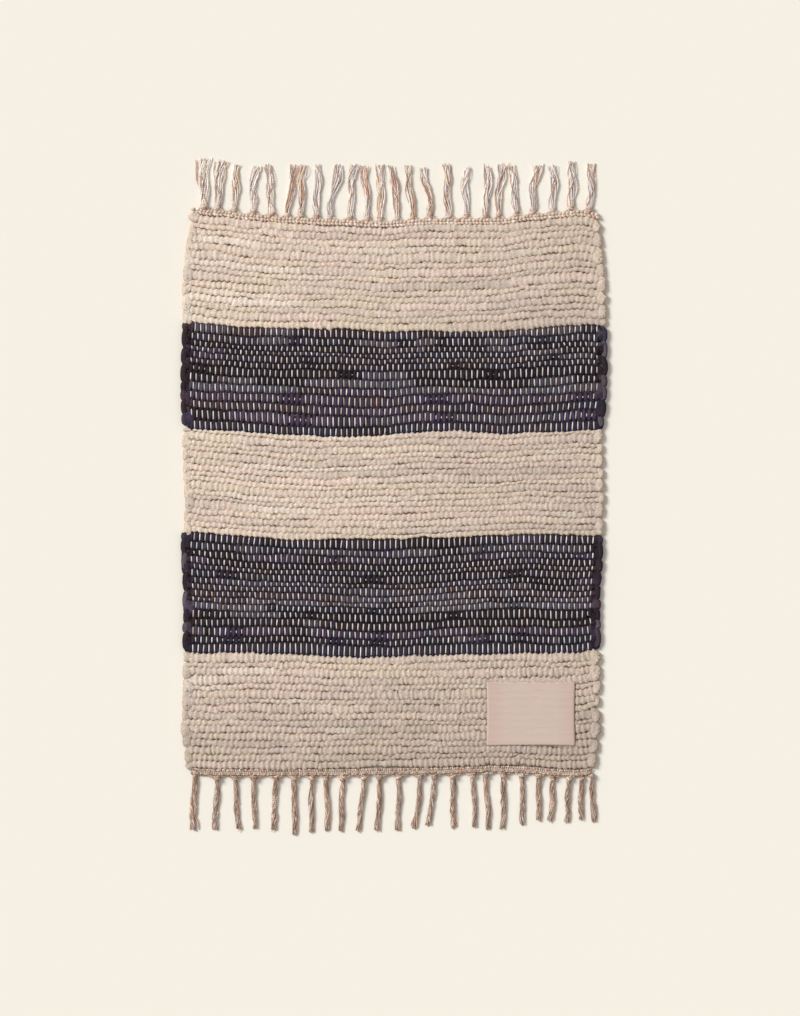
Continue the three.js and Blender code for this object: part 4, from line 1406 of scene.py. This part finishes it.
class RUG_OT_patch(bpy.types.Operator):
    """Sews on the bare patch"""

    bl_idname = "rug.patch"
    bl_label = "Sew on the patch"

    def execute(self, context):
        sizes = settings(context).patch
        middle = (PATCH_LOW + PATCH_HIGH) / 2
        columns, rows = PATCH_POINTS
        x, y = patch_grid(sizes.bow, columns, rows)
        high, long = PATCH_RIPPLES["along"]
        ripple = high * np.sin(y / long * 2 * np.pi)
        high, long = PATCH_RIPPLES["across"]
        ripple = ripple + high * np.sin(x / long)
        inside = np.minimum(np.abs(x).max() - np.abs(x), np.abs(y).max() - np.abs(y))
        tuck = PATCH_SINK + PATCH_TUCK * (1 - np.clip(inside / PATCH_RIM, 0, 1)) ** 2
        top = PATCH_LOW.z + PATCH_TOP + ripple * 0.8 - tuck
        bottom = top - PATCH_THICKNESS
        skins = [np.stack([x, y, z], axis=-1).reshape(-1, 3) for z in (top, bottom)]
        points = np.concatenate(skins) + (middle.x, middle.y, 0)
        index = np.arange(columns * rows).reshape(rows, columns)
        quads = np.stack([index[:-1, :-1], index[:-1, 1:], index[1:, 1:], index[1:, :-1]], axis=-1)
        quads = quads.reshape(-1, 4)
        edge = np.concatenate([index[0, :-1], index[:-1, -1], index[-1, :0:-1], index[:0:-1, 0]])
        after = np.roll(edge, -1)
        count = columns * rows
        walls = np.stack([edge, edge + count, after + count, after], axis=-1)
        faces = np.concatenate([quads, quads[:, ::-1] + count, walls])
        mesh = bpy.data.meshes.new("patch")
        mesh.from_pydata(points.tolist(), [], faces.tolist())
        mesh.shade_smooth()
        smooth = np.ones(len(faces), bool)
        smooth[-len(walls):] = False
        mesh.polygons.foreach_set("use_smooth", smooth)
        bake_map(mesh)
        tape = mesh.uv_layers.new(name="tape")
        corners = read(mesh.loops, "vertex_index", 1, np.int32)
        tape.uv.foreach_set("vector", (points - middle)[corners, :2].ravel())
        piece = finished("patch", mesh, woven_tape(sizes))
        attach(piece, "root")
        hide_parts("label")
        stitches = patch_stitches(sizes, x, y, top, middle)
        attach(stitches, "root")
        return {"FINISHED"}


def studio_floor(colour):
    """A plain painted floor, matte and even."""
    material, shader, _ = blank_material("matte_painted_floor")
    wire(material, shader, {"Base Color": (*colour, 1), "Roughness": 1, "Specular IOR Level": 0})
    return material

# The floor's half width, how wide the soft sun is in degrees and where it stands, how high the
# camera hangs, and where it looks: a little right of and below the middle of the cloth, as the
# photograph does.
FLOOR_REACH = 6.0
SUN_SPREAD = 24
SUN_FROM = (-0.86, 0.5, 0.8)
CAMERA_HEIGHT = 2.0
VIEW_OFFSET = (7.8 * MM, -19.1 * MM, 0)


class RUG_OT_stage(bpy.types.Operator):
    """Sets the floor, the soft light and the camera"""

    bl_idname = "rug.stage"
    bl_label = "Set the stage"

    def execute(self, context):
        studio = settings(context).studio
        scene = context.scene
        scene.view_settings.view_transform = "Standard"
        reach = FLOOR_REACH
        mesh = bpy.data.meshes.new("floor")
        corners = [(-reach, -reach, 0), (reach, -reach, 0), (reach, reach, 0), (-reach, reach, 0)]
        mesh.from_pydata(corners, [], [(0, 1, 2, 3)])
        floor = finished("floor", mesh, studio_floor(studio.floor))
        world = bpy.data.worlds.new("soft_studio")
        world.use_nodes = True
        background = world.node_tree.nodes["Background"]
        background.inputs["Color"].default_value = (1, 1, 1, 1)
        background.inputs["Strength"].default_value = studio.sky
        scene.world = world
        light = bpy.data.lights.new("soft_sun", "SUN")
        light.energy = studio.sun
        light.angle = math.radians(SUN_SPREAD)
        sun = bpy.data.objects.new("soft_sun", light)
        scene.collection.objects.link(sun)
        sun.rotation_mode = "QUATERNION"
        sun.rotation_quaternion = Vector(SUN_FROM).to_track_quat("Z", "Y")
        # The photograph looks straight down.
        view_middle = CLOTH_MIDDLE + Vector(VIEW_OFFSET)
        lens = bpy.data.cameras.new("camera")
        lens.type = "ORTHO"
        lens.ortho_scale = studio.frame_height
        camera = bpy.data.objects.new("camera", lens)
        camera.location = (view_middle.x, view_middle.y, CAMERA_HEIGHT)
        scene.collection.objects.link(camera)
        scene.camera = camera
        return {"FINISHED"}


class RUG_PT_panel(bpy.types.Panel):
    """The steps that make the rug"""

    bl_label = "Chindi Rug"
    bl_idname = "RUG_PT_panel"
    bl_space_type = "VIEW_3D"
    bl_region_type = "UI"
    bl_category = "Chindi Rug"

    def draw(self, context):
        for step in STEPS:
            self.layout.operator(step.bl_idname)


STEPS = (RUG_OT_weft, RUG_OT_warp, RUG_OT_fringes, RUG_OT_patch, RUG_OT_stage)
CLASSES = (
    NaturalRagSettings,
    DarkRagSettings,
    WarpSettings,
    FringeSettings,
    PatchSettings,
    StudioSettings,
    ChindiRugSettings,
    *STEPS,
    RUG_PT_panel,
)


def register():
    for each in CLASSES:
        bpy.utils.register_class(each)
    bpy.types.Scene.chindi_rug = PointerProperty(type=ChindiRugSettings)


def unregister():
    del bpy.types.Scene.chindi_rug
    for each in reversed(CLASSES):
        bpy.utils.unregister_class(each)


def main():
    """Makes the rug and its stage."""
    register()
    bpy.ops.rug.weft()
    bpy.ops.rug.warp()
    bpy.ops.rug.fringes()
    bpy.ops.rug.patch()
    bpy.ops.rug.stage()


if __name__ == "__main__":
    main()
